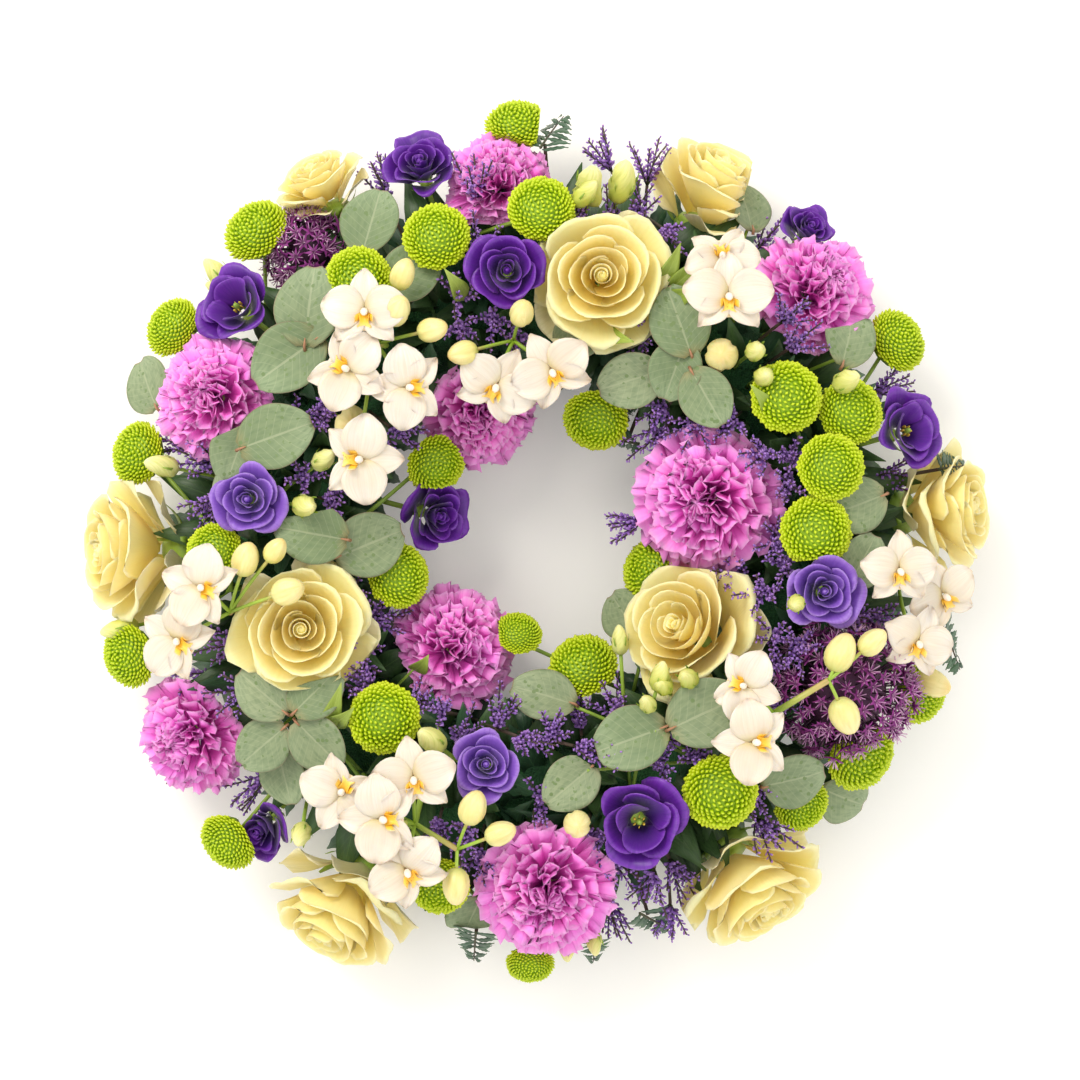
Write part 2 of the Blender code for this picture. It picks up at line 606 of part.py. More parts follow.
def turned_ring(name, outline, collection):
    """Closed outline of (distance from the middle, height) turned round the ring's axis."""
    mesh = bmesh.new()
    verts = [mesh.verts.new((radius, 0.0, height)) for radius, height in outline]
    for start, end in zip(verts, verts[1:] + verts[:1]):
        mesh.edges.new((start, end))
    bmesh.ops.spin(
        mesh, geom=mesh.verts[:] + mesh.edges[:], cent=(0.0, 0.0, 0.0), axis=(0.0, 0.0, 1.0),
        dvec=(0.0, 0.0, 0.0), angle=2.0 * math.pi, steps=RING_SEGMENTS, use_merge=True)
    bmesh.ops.remove_doubles(mesh, verts=mesh.verts, dist=1e-6)
    bmesh.ops.recalc_face_normals(mesh, faces=mesh.faces)
    return add_object(mesh, name, collection)


def make_foam(stems, collection):
    """Foam ring with a plain hole for each stem."""
    inner = RING_RADIUS - FOAM_HALF_WIDTH
    outer = RING_RADIUS + FOAM_HALF_WIDTH
    foam = turned_ring("foam_ring", (
        (inner, FOAM_BOTTOM), (outer, FOAM_BOTTOM), (outer, FOAM_SHOULDER),
        (RING_RADIUS + CROWN_HALF_WIDTH, FOAM_TOP), (RING_RADIUS - CROWN_HALF_WIDTH, FOAM_TOP),
        (inner, FOAM_SHOULDER)), collection)
    tools = []
    for stem in stems:
        stalk = stem.main or stem.stalks[0]
        along = (stalk.points[1] - stalk.points[0]).normalized()
        turn = along.to_track_quat("Z", "X").to_matrix()
        if not stem.main:
            first = narrowed(0, SHAPES[stalk.head.kind][0], STEM_SIDES)[0]
            bend = stalk.head.axis.rotation_difference(along).to_matrix()
            turn = bend @ stalk.head.turn @ Matrix.Rotation(first, 3, "Z")
        below = stalk.points[0] - along * HOLE_CLEARANCE
        above = stalk.points[0] + along * (JUNCTION - FOOT)
        tools.append(rod(stem.node + "_hole", below, above,
                         stalk.radius + HOLE_CLEARANCE, turn, collection))
        collection.objects.unlink(tools[-1])
    combine(foam, tools, "DIFFERENCE")
    return foam


def make_tray(collection):
    """Shallow plastic tray that the foam sits in, with its flat base on the surface."""
    inner = RING_RADIUS - FOAM_HALF_WIDTH - TRAY_GAP
    outer = RING_RADIUS + FOAM_HALF_WIDTH + TRAY_GAP
    return turned_ring("tray", (
        (inner - TRAY_WALL, 0.0), (outer + TRAY_WALL, 0.0), (outer + TRAY_WALL, TRAY_RIM),
        (outer, TRAY_RIM), (outer, TRAY_FLOOR), (inner, TRAY_FLOOR), (inner, TRAY_RIM),
        (inner - TRAY_WALL, TRAY_RIM)), collection)


def make_node(stem, collection):
    """One bloom, spray or sprig: a head with its stalk, or several joined to a main stem."""
    pieces = []
    for index, stalk in enumerate(stem.stalks):
        sides = STEM_SIDES if index == 0 and not stem.main else BRANCH_SIDES
        pieces.append(add_object(bloom_mesh(stalk, sides), stem.node, collection))
    if stem.main:
        runs = list(zip(stem.main.points, stem.main.points[1:]))
        for index, (start, end) in enumerate(runs):
            along = (end - start).normalized()
            radius = stem.main.radius * RUN_TAPER ** index
            start = start - along * (radius * (index > 0))
            turn = along.to_track_quat("Z", "X").to_matrix()
            pieces.insert(0, rod(stem.node, start, end, radius, turn, collection))
    base, *rest = pieces
    for piece in rest:
        collection.objects.unlink(piece)
    if rest:
        combine(base, rest, "UNION")
    base.name = stem.node
    return base


def build():
    """Remove what the scene holds and model the wreath."""
    for thing in list(bpy.data.objects):
        bpy.data.objects.remove(thing)
    collection = bpy.data.collections.new("funeral_wreath")
    bpy.context.scene.collection.children.link(collection)

    stems = [Stem(node, rows) for kind, nodes in KINDS for node, rows in nodes.items()]
    share_room(stems)
    tray = make_tray(collection)
    tray.data.materials.append(finish_of("green_plastic", (0.02, 0.05, 0.02), 0.45))
    foam = make_foam(stems, collection)
    foam.data.materials.clear()
    foam.data.materials.append(finish_of("floral_foam", (0.03, 0.10, 0.04), 0.95))
    finishes = {kind: finish_of(kind + "_petal", colour, 0.55) for kind, colour in COLOUR.items()}
    for stem in stems:
        thing = make_node(stem, collection)
        thing.data.materials.clear()
        thing.data.materials.append(finishes[stem.heads[0].kind])
    return stems


if __name__ == "__main__":
    build()
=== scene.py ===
"""Looks of the funeral wreath: petals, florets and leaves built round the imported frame.

Metres, +Z up. The table of blooms and the rule that seats them are the same as in the part's
source, so each bloom, bud and leaf stays where its solid is. Every petal, floret and leaf is a
small closed sheet: a grid bent by a rule of u across it and v along it. Both stay on its points
as the attribute "grain" with a number of the petal's own, and the materials read them.
"""

import functools
import math
import random

import bmesh
import bpy
from mathutils import Matrix, Vector


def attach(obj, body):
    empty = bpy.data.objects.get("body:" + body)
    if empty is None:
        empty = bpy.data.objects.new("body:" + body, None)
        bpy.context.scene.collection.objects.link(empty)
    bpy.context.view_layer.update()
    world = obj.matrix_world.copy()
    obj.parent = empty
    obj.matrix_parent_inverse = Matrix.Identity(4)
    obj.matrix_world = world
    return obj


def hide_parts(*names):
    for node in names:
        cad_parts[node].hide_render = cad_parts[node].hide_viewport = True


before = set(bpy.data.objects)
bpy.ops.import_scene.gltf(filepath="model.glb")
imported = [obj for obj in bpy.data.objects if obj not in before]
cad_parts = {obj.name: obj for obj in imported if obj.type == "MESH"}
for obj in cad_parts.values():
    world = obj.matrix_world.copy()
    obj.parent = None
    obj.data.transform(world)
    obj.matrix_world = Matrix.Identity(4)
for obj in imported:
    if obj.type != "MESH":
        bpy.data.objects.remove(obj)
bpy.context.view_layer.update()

bl_info = {
    "name": "Funeral Wreath",
    "version": (1, 0, 0),
    "blender": (4, 5, 0),
    "location": "View3D > Sidebar > Wreath",
    "description": "Fresh flowers and foliage standing in a ring of floral foam",
    "category": "Add Mesh",
}

MM = 0.001
FULL_TURN = 2.0 * math.pi
# Turn from each floret of a spiral to the next, which keeps them evenly apart
GOLDEN_TURN = 2.39996

# Foam ring, which every stem points at
RING_RADIUS = 0.126
FOAM_HALF_WIDTH = 0.029
FOAM_TOP = 0.048
CORE_HEIGHT = 0.024

# Seats: the most that a stem leans, the eye over the wreath and the plane it is seen against
MAX_TILT = math.radians(72)
EYE_HEIGHT = 1.29
SEEN_HEIGHT = 0.09
# Distance from the core to a stem's foot, and to where its buds' stalks part from it
FOOT = 0.013
JUNCTION = 0.033
# Heads and stalks this close to each other share the room between them
NEAR = 0.002
# How much fuller a fresh bloom is than its solid
SWELL = 1.08
# Clear height between a head and the floor
FLOOR_GAP = 0.001
# Share of its radius that every head keeps on each side, however near its neighbour
LEAST_ROOM = 0.3

# Distance from the core circle to a bloom's face, mm
FACE = {
    "rose": 82, "carnation": 78, "lisianthus": 81, "santini": 79, "orchid": 92,
    "orchid_bud": 92, "allium": 80, "leaf": 74, "statice": 80, "bud": 87, "fern": 60,
}
# How far the middle of a head lies under its face, how tall its ellipsoid is, and the
# smallest share of its radius it keeps against a neighbour: all times its radius
DEPTH = {
    "rose": 0.72, "carnation": 0.5, "lisianthus": 0.5, "santini": 0.62, "orchid": 0.15,
    "orchid_bud": 1.0, "allium": 0.9, "leaf": 0.05, "statice": 1.0, "bud": 1.0, "fern": 0.05,
}
TALL = {
    "rose": 0.78, "carnation": 0.62, "lisianthus": 0.66, "santini": 0.66, "orchid": 0.3,
    "orchid_bud": 1.0, "allium": 0.88, "leaf": 0.2, "statice": 1.0, "bud": 1.0, "fern": 0.2,
}
KEEP = {
    "rose": 0.5, "carnation": 0.45, "lisianthus": 0.5, "santini": 0.55, "orchid": 0.25,
    "orchid_bud": 0.8, "allium": 0.5, "leaf": 0.2, "statice": 0.6, "bud": 0.8, "fern": 0.15,
}
STEM = {
    "rose": 2.4, "carnation": 1.9, "lisianthus": 1.5, "santini": 1.1, "orchid": 1.0,
    "orchid_bud": 0.9, "allium": 2.2, "leaf": 0.9, "statice": 0.9, "bud": 1.0, "fern": 1.0,
}
MAIN_STEM = {"santini": 1.8, "orchid": 1.8, "leaf": 1.6, "statice": 1.5, "fern": 1.6}
# How far behind and under its middle a head meets its stalk, times its radius
TIE = {
    "rose": (0.0, 0.66), "carnation": (0.0, 0.6), "lisianthus": (0.0, 0.62), "santini": (0.0, 0.36),
    "orchid": (0.0, 0.24), "orchid_bud": (0.0, 0.85), "allium": (0.0, 0.84), "leaf": (0.7, 0.08),
    "statice": (0.0, 0.95), "bud": (0.0, 0.85), "fern": (0.6, 0.06),
}
# Share of its stem's lean that a head keeps: flowers turn up to the light
LEAN = {
    "rose": 0.85, "carnation": 0.45, "lisianthus": 0.5, "santini": 0.55, "orchid": 0.5,
    "orchid_bud": 1.0, "allium": 0.8, "leaf": 0.55, "statice": 1.0, "bud": 1.0, "fern": 0.8,
}
# Heads that look along their own stalk instead of away from the ring
ON_ITS_STALK = ("orchid_bud", "bud", "statice")

# Single blooms on one stem. Each row: x, y (mm, as an eye over the wreath sees its middle against
# the plane at SEEN_HEIGHT), radius (mm), lift (mm), spin (degrees).
# After the head come the unopened buds on the same stem.
ROSES = {
    "rose_01": [("rose", 29, 124, 33, 2, 10)],
    "rose_02": [("rose", 80, 162, 31, -6, 70)],
    "rose_03": [("rose", -112, -40, 33, 2, 200)],
    "rose_04": [("rose", 73, -43, 34, 2, 300)],
    "rose_05": [("rose", -186, -3, 34, 4, 160)],
    "rose_06": [("rose", -91, -167, 34, 4, 240)],
    "rose_07": [("rose", 97, -156, 34, 2, 310)],
    "rose_08": [("rose", 186, 16, 31, 0, 20)],
    "rose_09": [("rose", -101, 166, 21, -4, 120)],
}
CARNATIONS = {
    "carnation_01": [("carnation", -19, 171, 28, -4, 0)],
    "carnation_02": [("carnation", 130, 119, 33, 2, 30)],
    "carnation_03": [("carnation", -153, 70, 30, 2, 15)],
    "carnation_04": [("carnation", 79, 21, 37, 3, 45)],
    "carnation_05": [("carnation", -28, 61, 28, -6, 0)],
    "carnation_06": [("carnation", -39, -47, 32, 2, 20)],
    "carnation_07": [("carnation", -164, -90, 30, 0, 10)],
    "carnation_08": [("carnation", 4, -163, 34, 2, 0)],
}
LISIANTHUS = {
    "lisianthus_01": [("lisianthus", -55, 176, 20, 0, 0)],
    "lisianthus_02": [("lisianthus", -141, 111, 21, 0, 60),
                      ("bud", -152, 128, 9, 2, 110)],
    "lisianthus_03": [("lisianthus", -15, 128, 20, 0, 30),
                      ("bud", 22, 165, 8, 0, 70)],
    "lisianthus_04": [("lisianthus", -136, 21, 19, 0, 120),
                      ("bud", -110, 18, 9, 2, 20), ("bud", -101, 40, 8, -2, 60)],
    "lisianthus_05": [("lisianthus", -51, 14, 20, 0, 200)],
    "lisianthus_06": [("lisianthus", 172, 53, 20, 0, 0)],
    "lisianthus_07": [("lisianthus", 133, -22, 20, -2, 300),
                      ("bud", 121, -28, 7, 8, 250)],
    "lisianthus_08": [("lisianthus", 47, -130, 23, 2, 330),
                      ("bud", 57, -62, 8, 8, 60), ("bud", 38, -45, 7, 4, 90)],
    "lisianthus_09": [("lisianthus", -25, -104, 18, 2, 80),
                      ("bud", -51, -92, 10, 2, 170)],
    "lisianthus_10": [("lisianthus", -130, -133, 19, -2, 220),
                      ("bud", -112, -137, 8, 4, 250)],
    "lisianthus_11": [("lisianthus", 125, 146, 15, -8, 40)],
}
ALLIUMS = {
    "allium_01": [("allium", -108, 140, 22, -4, 0)],
    "allium_02": [("allium", 144, -69, 35, 9, 0)],
}

# Sprays: several heads on one branching stem. A row "stem" holds a point of the main stem:
# x, y and its distance from the core circle, all in mm; the first stands over the foam.
SANTINI = {
    "santini_spray_01": [("stem", -40, 148, 33), ("santini", -10, 195, 16, 0, 0),
                         ("santini", 1, 157, 16, 4, 20), ("santini", -48, 144, 16, 4, 40)],
    "santini_spray_02": [("stem", -134, 112, 33), ("santini", -132, 146, 17, 0, 0),
                         ("santini", -85, 124, 16, 4, 25), ("santini", -171, 101, 15, -2, 10)],
    "santini_spray_03": [("stem", -150, -22, 36), ("stem", -149, -3, 50), ("santini", -187, 42, 16, 0, 0),
                         ("santini", -152, -4, 14, -2, 15), ("santini", -191, -52, 16, 0, 30)],
    "santini_spray_04": [("stem", -92, -8, 33), ("stem", -84, 14, 52), ("santini", -49, 38, 15, 0, 0),
                         ("santini", -67, -15, 16, 0, 30)],
    "santini_spray_05": [("stem", -104, -90, 36), ("santini", -73, -82, 17, 0, 0),
                         ("santini", -145, -139, 15, 0, 20), ("santini", -47, -160, 15, -4, 10),
                         ("santini", -4, -196, 12, -6, 0)],
    "santini_spray_06": [("stem", 46, -74, 33), ("santini", 21, -58, 17, 0, 0),
                         ("santini", -10, -43, 12, -6, 10), ("santini", 54, -13, 16, 0, 40)],
    "santini_spray_07": [("stem", 40, 78, 33), ("santini", 27, 59, 16, 0, 0)],
    "santini_spray_08": [("stem", 131, 42, 33), ("santini", 116, 69, 17, 2, 0),
                         ("santini", 146, 62, 16, -2, 10), ("santini", 137, 36, 16, 4, 20),
                         ("santini", 130, 6, 17, 0, 30), ("santini", 167, 95, 16, 0, 15)],
    "santini_spray_09": [("stem", 118, -112, 33), ("santini", 85, -116, 18, 0, 0),
                         ("santini", 123, -122, 14, -6, 15), ("santini", 151, -99, 18, 0, 30),
                         ("santini", 178, -69, 16, -6, 45)],
}
ORCHIDS = {
    "orchid_spray_01": [("stem", -74, 96, 34), ("stem", -76, 94, 70), ("orchid", -82, 110, 19, 2, 270),
                        ("orchid", -90, 82, 19, 0, 150), ("orchid", -62, 74, 19, 2, 0),
                        ("orchid", -84, 40, 20, 2, 180), ("orchid_bud", -67, 110, 9, 6, 0),
                        ("orchid_bud", -50, 101, 8, 4, 0), ("orchid_bud", -64, 127, 8, 0, 90)],
    "orchid_spray_02": [("stem", -12, 96, 34), ("stem", -12, 96, 70), ("orchid", -20, 75, 19, 0, 240),
                        ("orchid", 6, 82, 19, 0, 300), ("orchid_bud", -8, 109, 8, 0, 80),
                        ("orchid_bud", -36, 90, 8, 2, 160)],
    "orchid_spray_03": [("stem", 95, 107, 34), ("orchid", 89, 117, 20, 0, 270)],
    "orchid_spray_04": [("stem", -146, -30, 34), ("stem", -145, -32, 72), ("orchid", -159, -20, 19, 2, 340),
                        ("orchid", -170, -45, 19, 0, 330), ("orchid_bud", -138, -7, 9, 0, 100),
                        ("orchid_bud", -124, -3, 7, 0, 60), ("orchid_bud", -118, -22, 9, 6, 0)],
    "orchid_spray_05": [("stem", -52, -100, 34), ("stem", -58, -131, 74), ("stem", -38, -142, 82),
                        ("orchid", -93, -117, 19, 0, 60), ("orchid", -59, -110, 19, 0, 280),
                        ("orchid", -74, -129, 20, 4, 0), ("orchid", -62, -153, 19, 4, 310),
                        ("orchid_bud", -31, -124, 9, 4, 80), ("orchid_bud", -18, -136, 8, 4, 20),
                        ("orchid_bud", -39, -161, 9, 4, 260)],
    "orchid_spray_06": [("stem", 105, -78, 34), ("stem", 110, -79, 74), ("stem", 134, -63, 89),
                        ("orchid", 101, -93, 19, 2, 0), ("orchid", 97, -67, 17, 0, 160),
                        ("orchid_bud", 142, -51, 10, 4, 70), ("orchid_bud", 157, -46, 8, 4, 20),
                        ("orchid_bud", 144, -81, 10, 4, 280)],
    "orchid_spray_07": [("stem", 176, -20, 34), ("orchid", 169, -12, 18, 0, 270),
                        ("orchid", 190, -24, 18, 0, 300), ("orchid", 178, -46, 18, -2, 250)],
}
EUCALYPTUS = {
    "eucalyptus_01": [("stem", -92, 112, 33), ("leaf", -79, 152, 16, -2, 80),
                      ("leaf", -108, 112, 18, 4, 85), ("leaf", -118, 87, 18, 2, 215)],
    "eucalyptus_02": [("stem", -145, 47, 33), ("leaf", -124, 51, 17, 4, 20),
                      ("leaf", -142, 43, 15, -4, 250), ("leaf", -184, 75, 15, -4, 130)],
    "eucalyptus_03": [("stem", -98, 6, 33), ("leaf", -107, 5, 16, 0, 170),
                      ("leaf", -80, 0, 17, 0, 20)],
    "eucalyptus_04": [("stem", -117, -82, 33), ("leaf", -105, -69, 14, 0, 45),
                      ("leaf", -130, -70, 14, 0, 140), ("leaf", -130, -95, 14, 0, 220),
                      ("leaf", -104, -94, 14, -2, 315)],
    "eucalyptus_05": [("stem", 82, 112, 33), ("leaf", 98, 160, 14, -4, 90), ("leaf", 66, 105, 16, 0, 110),
                      ("leaf", 43, 77, 15, 0, 200), ("leaf", 64, 82, 14, 0, 250),
                      ("leaf", 79, 69, 14, 4, 300)],
    "eucalyptus_06": [("stem", 78, -104, 46), ("leaf", 43, -92, 17, 4, 200), ("leaf", 79, -79, 18, 4, 25),
                      ("leaf", 15, -113, 14, -4, 220), ("leaf", 2, -71, 15, -4, 160),
                      ("leaf", 40, -33, 14, -6, 130)],
}
STATICE = {
    "statice_01": [("stem", 52, 161, 33), ("statice", 52, 180, 11, 0, 90),
                   ("statice", 29, 184, 10, -2, 120), ("statice", 62, 146, 10, -4, 0)],
    "statice_02": [("stem", -133, 42, 30), ("statice", -109, 60, 11, -4, 45),
                   ("statice", -157, 18, 10, -4, 200)],
    "statice_03": [("stem", -34, -86, 30), ("statice", -84, -64, 10, -4, 170),
                   ("statice", -48, -78, 10, -2, 120), ("statice", -6, -92, 10, 0, 60),
                   ("statice", 24, -97, 11, 0, 0)],
    "statice_04": [("stem", 62, -134, 33), ("statice", 52, -162, 11, -4, 250),
                   ("statice", 62, -177, 9, -8, 270)],
}
FERNS = {
    "fern_01": [("stem", 6, 170, 26), ("fern", 6, 193, 20, 4, 80)],
    "fern_02": [("stem", 168, -42, 26), ("fern", 193, -48, 20, 0, 330)],
}
KINDS = (
    ("rose", ROSES), ("carnation", CARNATIONS), ("lisianthus", LISIANTHUS), ("allium", ALLIUMS),
    ("santini", SANTINI), ("orchid", ORCHIDS), ("leaf", EUCALYPTUS), ("statice", STATICE),
    ("fern", FERNS),
)


def seat(x, y, reach):
    """Where a point over x, y hangs from: the core circle under it, the axis to it, its reach."""
    spread = math.hypot(x, y)
    around = math.atan2(y, x)
    reach = max(reach, abs(spread - RING_RADIUS) / math.sin(MAX_TILT))
    tilt = math.asin((spread - RING_RADIUS) / reach)
    core = Vector((RING_RADIUS * math.cos(around), RING_RADIUS * math.sin(around), CORE_HEIGHT))
    axis = Vector((math.sin(tilt) * math.cos(around), math.sin(tilt) * math.sin(around), math.cos(tilt)))
    return core, axis, reach


class Head:
    """One bloom, bud or leaf: where its middle is, which way it faces and how big it is."""

    def __init__(self, kind, x, y, radius, lift, spin):
        self.kind = kind
        self.radius = radius * MM
        reach = (FACE[kind] + lift) * MM - DEPTH[kind] * self.radius
        core, axis, distance = seat(x * MM, y * MM, reach)
        away = (EYE_HEIGHT - core.z - axis.z * distance) / (EYE_HEIGHT - SEEN_HEIGHT)
        core, self.way, distance = seat(x * MM * away, y * MM * away, reach)
        self.centre = core + self.way * distance
        self.tall = TALL[kind] * self.radius
        self.keep = KEEP[kind] * self.radius
        self.spin = math.radians(spin)
        self.planes = []
        self.face(Vector((0.0, 0.0, 1.0)).slerp(self.way, LEAN[kind]))

    def face(self, axis):
        """Turn the head to look along an axis, with its lip or leaf tip towards its spin."""
        self.axis = axis
        self.hang = axis
        ahead = Vector((math.cos(self.spin), math.sin(self.spin), 0.0))
        ahead = (ahead - axis * ahead.dot(axis)).normalized()
        self.turn = Matrix((ahead, axis.cross(ahead), axis)).transposed()

    def tie(self):
        """Where the stalk ends under the head: a leaf's is near the base of its blade."""
        behind, under = TIE[self.kind]
        return self.squeeze(self.centre - (self.turn.col[0] * behind + self.hang * under) * self.radius)

    def squeeze(self, point):
        """Draw a point of the head in along its ray until the head fits between its planes."""
        offset = point - self.centre
        size = offset.length
        if size < 1e-7:
            return point
        ray = offset / size
        along = ray.dot(self.axis)
        across = math.sqrt(max(0.0, 1.0 - along * along))
        extent = max(size, 1.0 / math.hypot(across / self.radius, along / self.tall))
        room = extent
        for normal, distance in self.planes:
            facing = ray.dot(normal)
            if facing > 1e-6:
                room = min(room, distance / facing)
        return self.centre + offset * (room / extent)

    def place(self, x, y, z):
        """Point of the wreath for a point given in the head's own frame and in its radii."""
        return self.squeeze(self.centre + self.turn @ (Vector((x, y, z)) * self.radius * SWELL))


class Stem:
    """One node: the heads on it and the runs of stem that carry them."""

    def __init__(self, node, rows):
        self.node = node
        self.heads = [Head(*row) for row in rows if row[0] != "stem"]
        route = []
        for row in rows:
            if row[0] == "stem":
                core, axis, reach = seat(row[1] * MM, row[2] * MM, row[3] * MM)
                route = (route or [core + axis * FOOT]) + [core + axis * reach]
        first = self.heads[0]
        self.runs = []
        branching = self.heads
        joints = route[1:]
        if route:
            self.runs.append((route, MAIN_STEM[first.kind] * MM, None))
        else:
            core = seat(rows[0][1] * MM, rows[0][2] * MM, FACE[first.kind] * MM)[0]
            first.hang = first.way
            joints = [core + first.way * JUNCTION]
            self.runs.append(([core + first.way * FOOT, first.tie()], STEM[first.kind] * MM, first))
            branching = self.heads[1:]
        for head in branching:
            joint = min(joints, key=lambda spot: (spot - head.centre).length)
            if head.kind in ON_ITS_STALK:
                head.face((head.centre - joint).normalized())
            self.runs.append(([joint, head.tie()], STEM[head.kind] * MM, head))


def nearest_on(line, point):
    """The point of an open line nearest to another point."""
    best = None
    for start, end in zip(line, line[1:]):
        run = end - start
        share = min(1.0, max(0.0, (point - start).dot(run) / run.length_squared))
        spot = start + run * share
        if best is None or (spot - point).length < (best - point).length:
            best = spot
    return best


def share_room(stems, everyone, overlap):
    """Put a plane between each head and every neighbour, stalk and the floor."""
    for stem in stems:
        others = [other for other in everyone if other is not stem]
        for head in stem.heads:
            for other in [neighbour for owner in others for neighbour in owner.heads]:
                gap = other.centre - head.centre
                distance = gap.length
                if distance > head.radius + other.radius + NEAR:
                    continue
                even = (distance * distance + head.radius ** 2 - other.radius ** 2) / (2.0 * distance)
                even = min(max(even, head.keep), distance - other.keep)
                head.planes.append((gap / distance, max(even + overlap, LEAST_ROOM * head.radius)))
            for points, radius, carried in [run for owner in others for run in owner.runs]:
                line = points + [carried.centre] if carried else points
                gap = nearest_on(line, head.centre) - head.centre
                if gap.length < head.radius + radius + NEAR:
                    room = max(gap.length - radius, LEAST_ROOM * head.radius)
                    head.planes.append((gap.normalized(), room))
            head.planes.append((Vector((0.0, 0.0, -1.0)), head.centre.z - FLOOR_GAP))


class Piece:
    """One object in the making: closed sheets and rods, each with its finish."""

    def __init__(self, name):
        self.name = name
        self.body = bmesh.new()
        self.body.verts.layers.float_vector.new("grain")
        self.finishes = []
        self.scratch = bpy.data.meshes.new("scratch")

    def take(self, part, finish):
        """Add a finished bmesh to the piece and free it."""
        if finish not in self.finishes:
            self.finishes.append(finish)
        slot = self.finishes.index(finish)
        for face in part.faces:
            face.material_index = slot
            face.smooth = True
        part.to_mesh(self.scratch)
        self.body.from_mesh(self.scratch)
        part.free()

    def sheet(self, across, along, rule, finish, tint=0.5, thickness=0.35 * MM):
        """Bend a grid by a rule of (u from -1 to 1, v from 0 to 1), give it thickness and add it."""
        part = bmesh.new()
        grain = part.verts.layers.float_vector.new("grain")
        bmesh.ops.create_grid(part, x_segments=across, y_segments=along, size=0.5)
        for vert in part.verts:
            u, v = 2.0 * vert.co.x, vert.co.y + 0.5
            vert[grain] = (u, v, tint)
            vert.co = rule(u, v)
        bmesh.ops.solidify(part, geom=part.faces[:], thickness=thickness)
        bmesh.ops.recalc_face_normals(part, faces=part.faces)
        self.take(part, finish)

    def rod(self, points, radii, finish, sides=6, tint=0.5):
        """Round stem through points, closed at both ends; radii belong to the points."""
        part = bmesh.new()
        grain = part.verts.layers.float_vector.new("grain")
        rows = len(points) + 1
        bmesh.ops.create_grid(part, x_segments=sides, y_segments=rows, size=0.5)
        frames = []
        for index, point in enumerate(points):
            along = points[min(index + 1, len(points) - 1)] - points[max(index - 1, 0)]
            frames.append(along.to_track_quat("Z", "X"))
        for vert in part.verts:
            turn = FULL_TURN * (vert.co.x + 0.5)
            row = round((vert.co.y + 0.5) * rows)
            index = min(max(row - 1, 0), len(points) - 1)
            radius = radii[index] * (0 < row < rows)
            vert[grain] = (math.cos(turn), index / max(1, len(points) - 1), tint)
            side = Vector((math.cos(turn) * radius, math.sin(turn) * radius, 0.0))
            vert.co = points[index] + frames[index] @ side
        bmesh.ops.remove_doubles(part, verts=part.verts, dist=1e-7)
        bmesh.ops.recalc_face_normals(part, faces=part.faces)
        self.take(part, finish)

    def ball(self, columns, rings, rule, finish, tint=0.5):
        """Closed body: a sphere whose points (x, y, z) are moved by a rule."""
        part = bmesh.new()
        grain = part.verts.layers.float_vector.new("grain")
        bmesh.ops.create_uvsphere(part, u_segments=columns, v_segments=rings, radius=1.0)
        for vert in part.verts:
            x, y, z = vert.co
            vert[grain] = (math.atan2(y, x) / math.pi, 0.5 + 0.5 * z, tint)
            vert.co = rule(x, y, z)
        self.take(part, finish)

    def finish(self, nodes=(), slot=None):
        """Make the object, let it ride on the wreath and stand for its nodes."""
        data = bpy.data.meshes.new(self.name)
        self.body.to_mesh(data)
        self.body.free()
        bpy.data.meshes.remove(self.scratch)
        for name in self.finishes:
            data.materials.append(bpy.data.materials[name])
        thing = bpy.data.objects.new(self.name, data)
        bpy.context.scene.collection.objects.link(thing)
        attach(thing, "root")
        if nodes:
            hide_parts(*nodes)
        return thing


def bezier(start, middle, end, share):
    """Point of a quadratic curve; the points are (radius, height) pairs."""
    back = 1.0 - share
    return tuple(back * back * a + 2.0 * back * share * b + share * share * c
                 for a, b, c in zip(start, middle, end))


def phase(draw):
    """Any start for a wave, in radians."""
    return draw.uniform(0, 6.28)


def bell(value, width):
    """1 at 0, falling smoothly to 0 past the width."""
    return math.exp(-(value / width) ** 2)


def bent_stem(start, end, sag, count=5):
    """Points of a stem that bows a little on its way up."""
    run = end - start
    side = run.cross(Vector((0.3, 0.7, 0.1))).normalized()
    return [start + run * (step / count) + side * (sag * math.sin(math.pi * step / count))
            for step in range(count + 1)]


def petal_rule(head, turn, half, foot, rim, lean, curl, flare, point, wave, seed, twist=0.05):
    """Cupped petal with a rolled rim.

    foot and rim are (radius, height) in the head's radii, lean is how far the rim leans out,
    curl and flare are the radius and angle of its roll, point is how far its tip runs out.
    """
    rise = rim[1] - foot[1]
    reach = math.hypot(rim[0] - foot[0], rise)
    middle = (rim[0] - 0.6 * reach * math.sin(lean), rim[1] - 0.6 * reach * math.cos(lean))

    def rule(u, v):
        edge = abs(u)
        far = v * (1.0 - 0.36 * edge ** 2.6) + point * bell(u, 0.24) * v ** 5
        share = min(far / 0.8, 1.0)
        radius, height = bezier(foot, middle, rim, share)
        roll = flare * max(0.0, far - 0.8) / 0.2 * (1.0 - 0.6 * bell(u, 0.26) * (point > 0.0))
        out = curl * (1.0 - math.cos(roll))
        up = curl * math.sin(roll)
        radius += up * math.sin(lean) + out * math.cos(lean)
        height += up * math.cos(lean) - out * math.sin(lean)
        sway = wave * v * v
        radius += sway * math.sin(4.3 * u + seed) * math.cos(lean) + twist * u * radius
        height += sway * (math.cos(5.1 * u + 1.7 * seed) + 0.4 * math.sin(9.0 * u + seed)) * (
            0.35 + math.sin(lean))
        angle = turn + half * u * (0.4 + 0.6 * math.sin(min(1.0, 1.2 * v) * math.pi / 2))
        return head.place(radius * math.cos(angle), radius * math.sin(angle), height)

    return rule


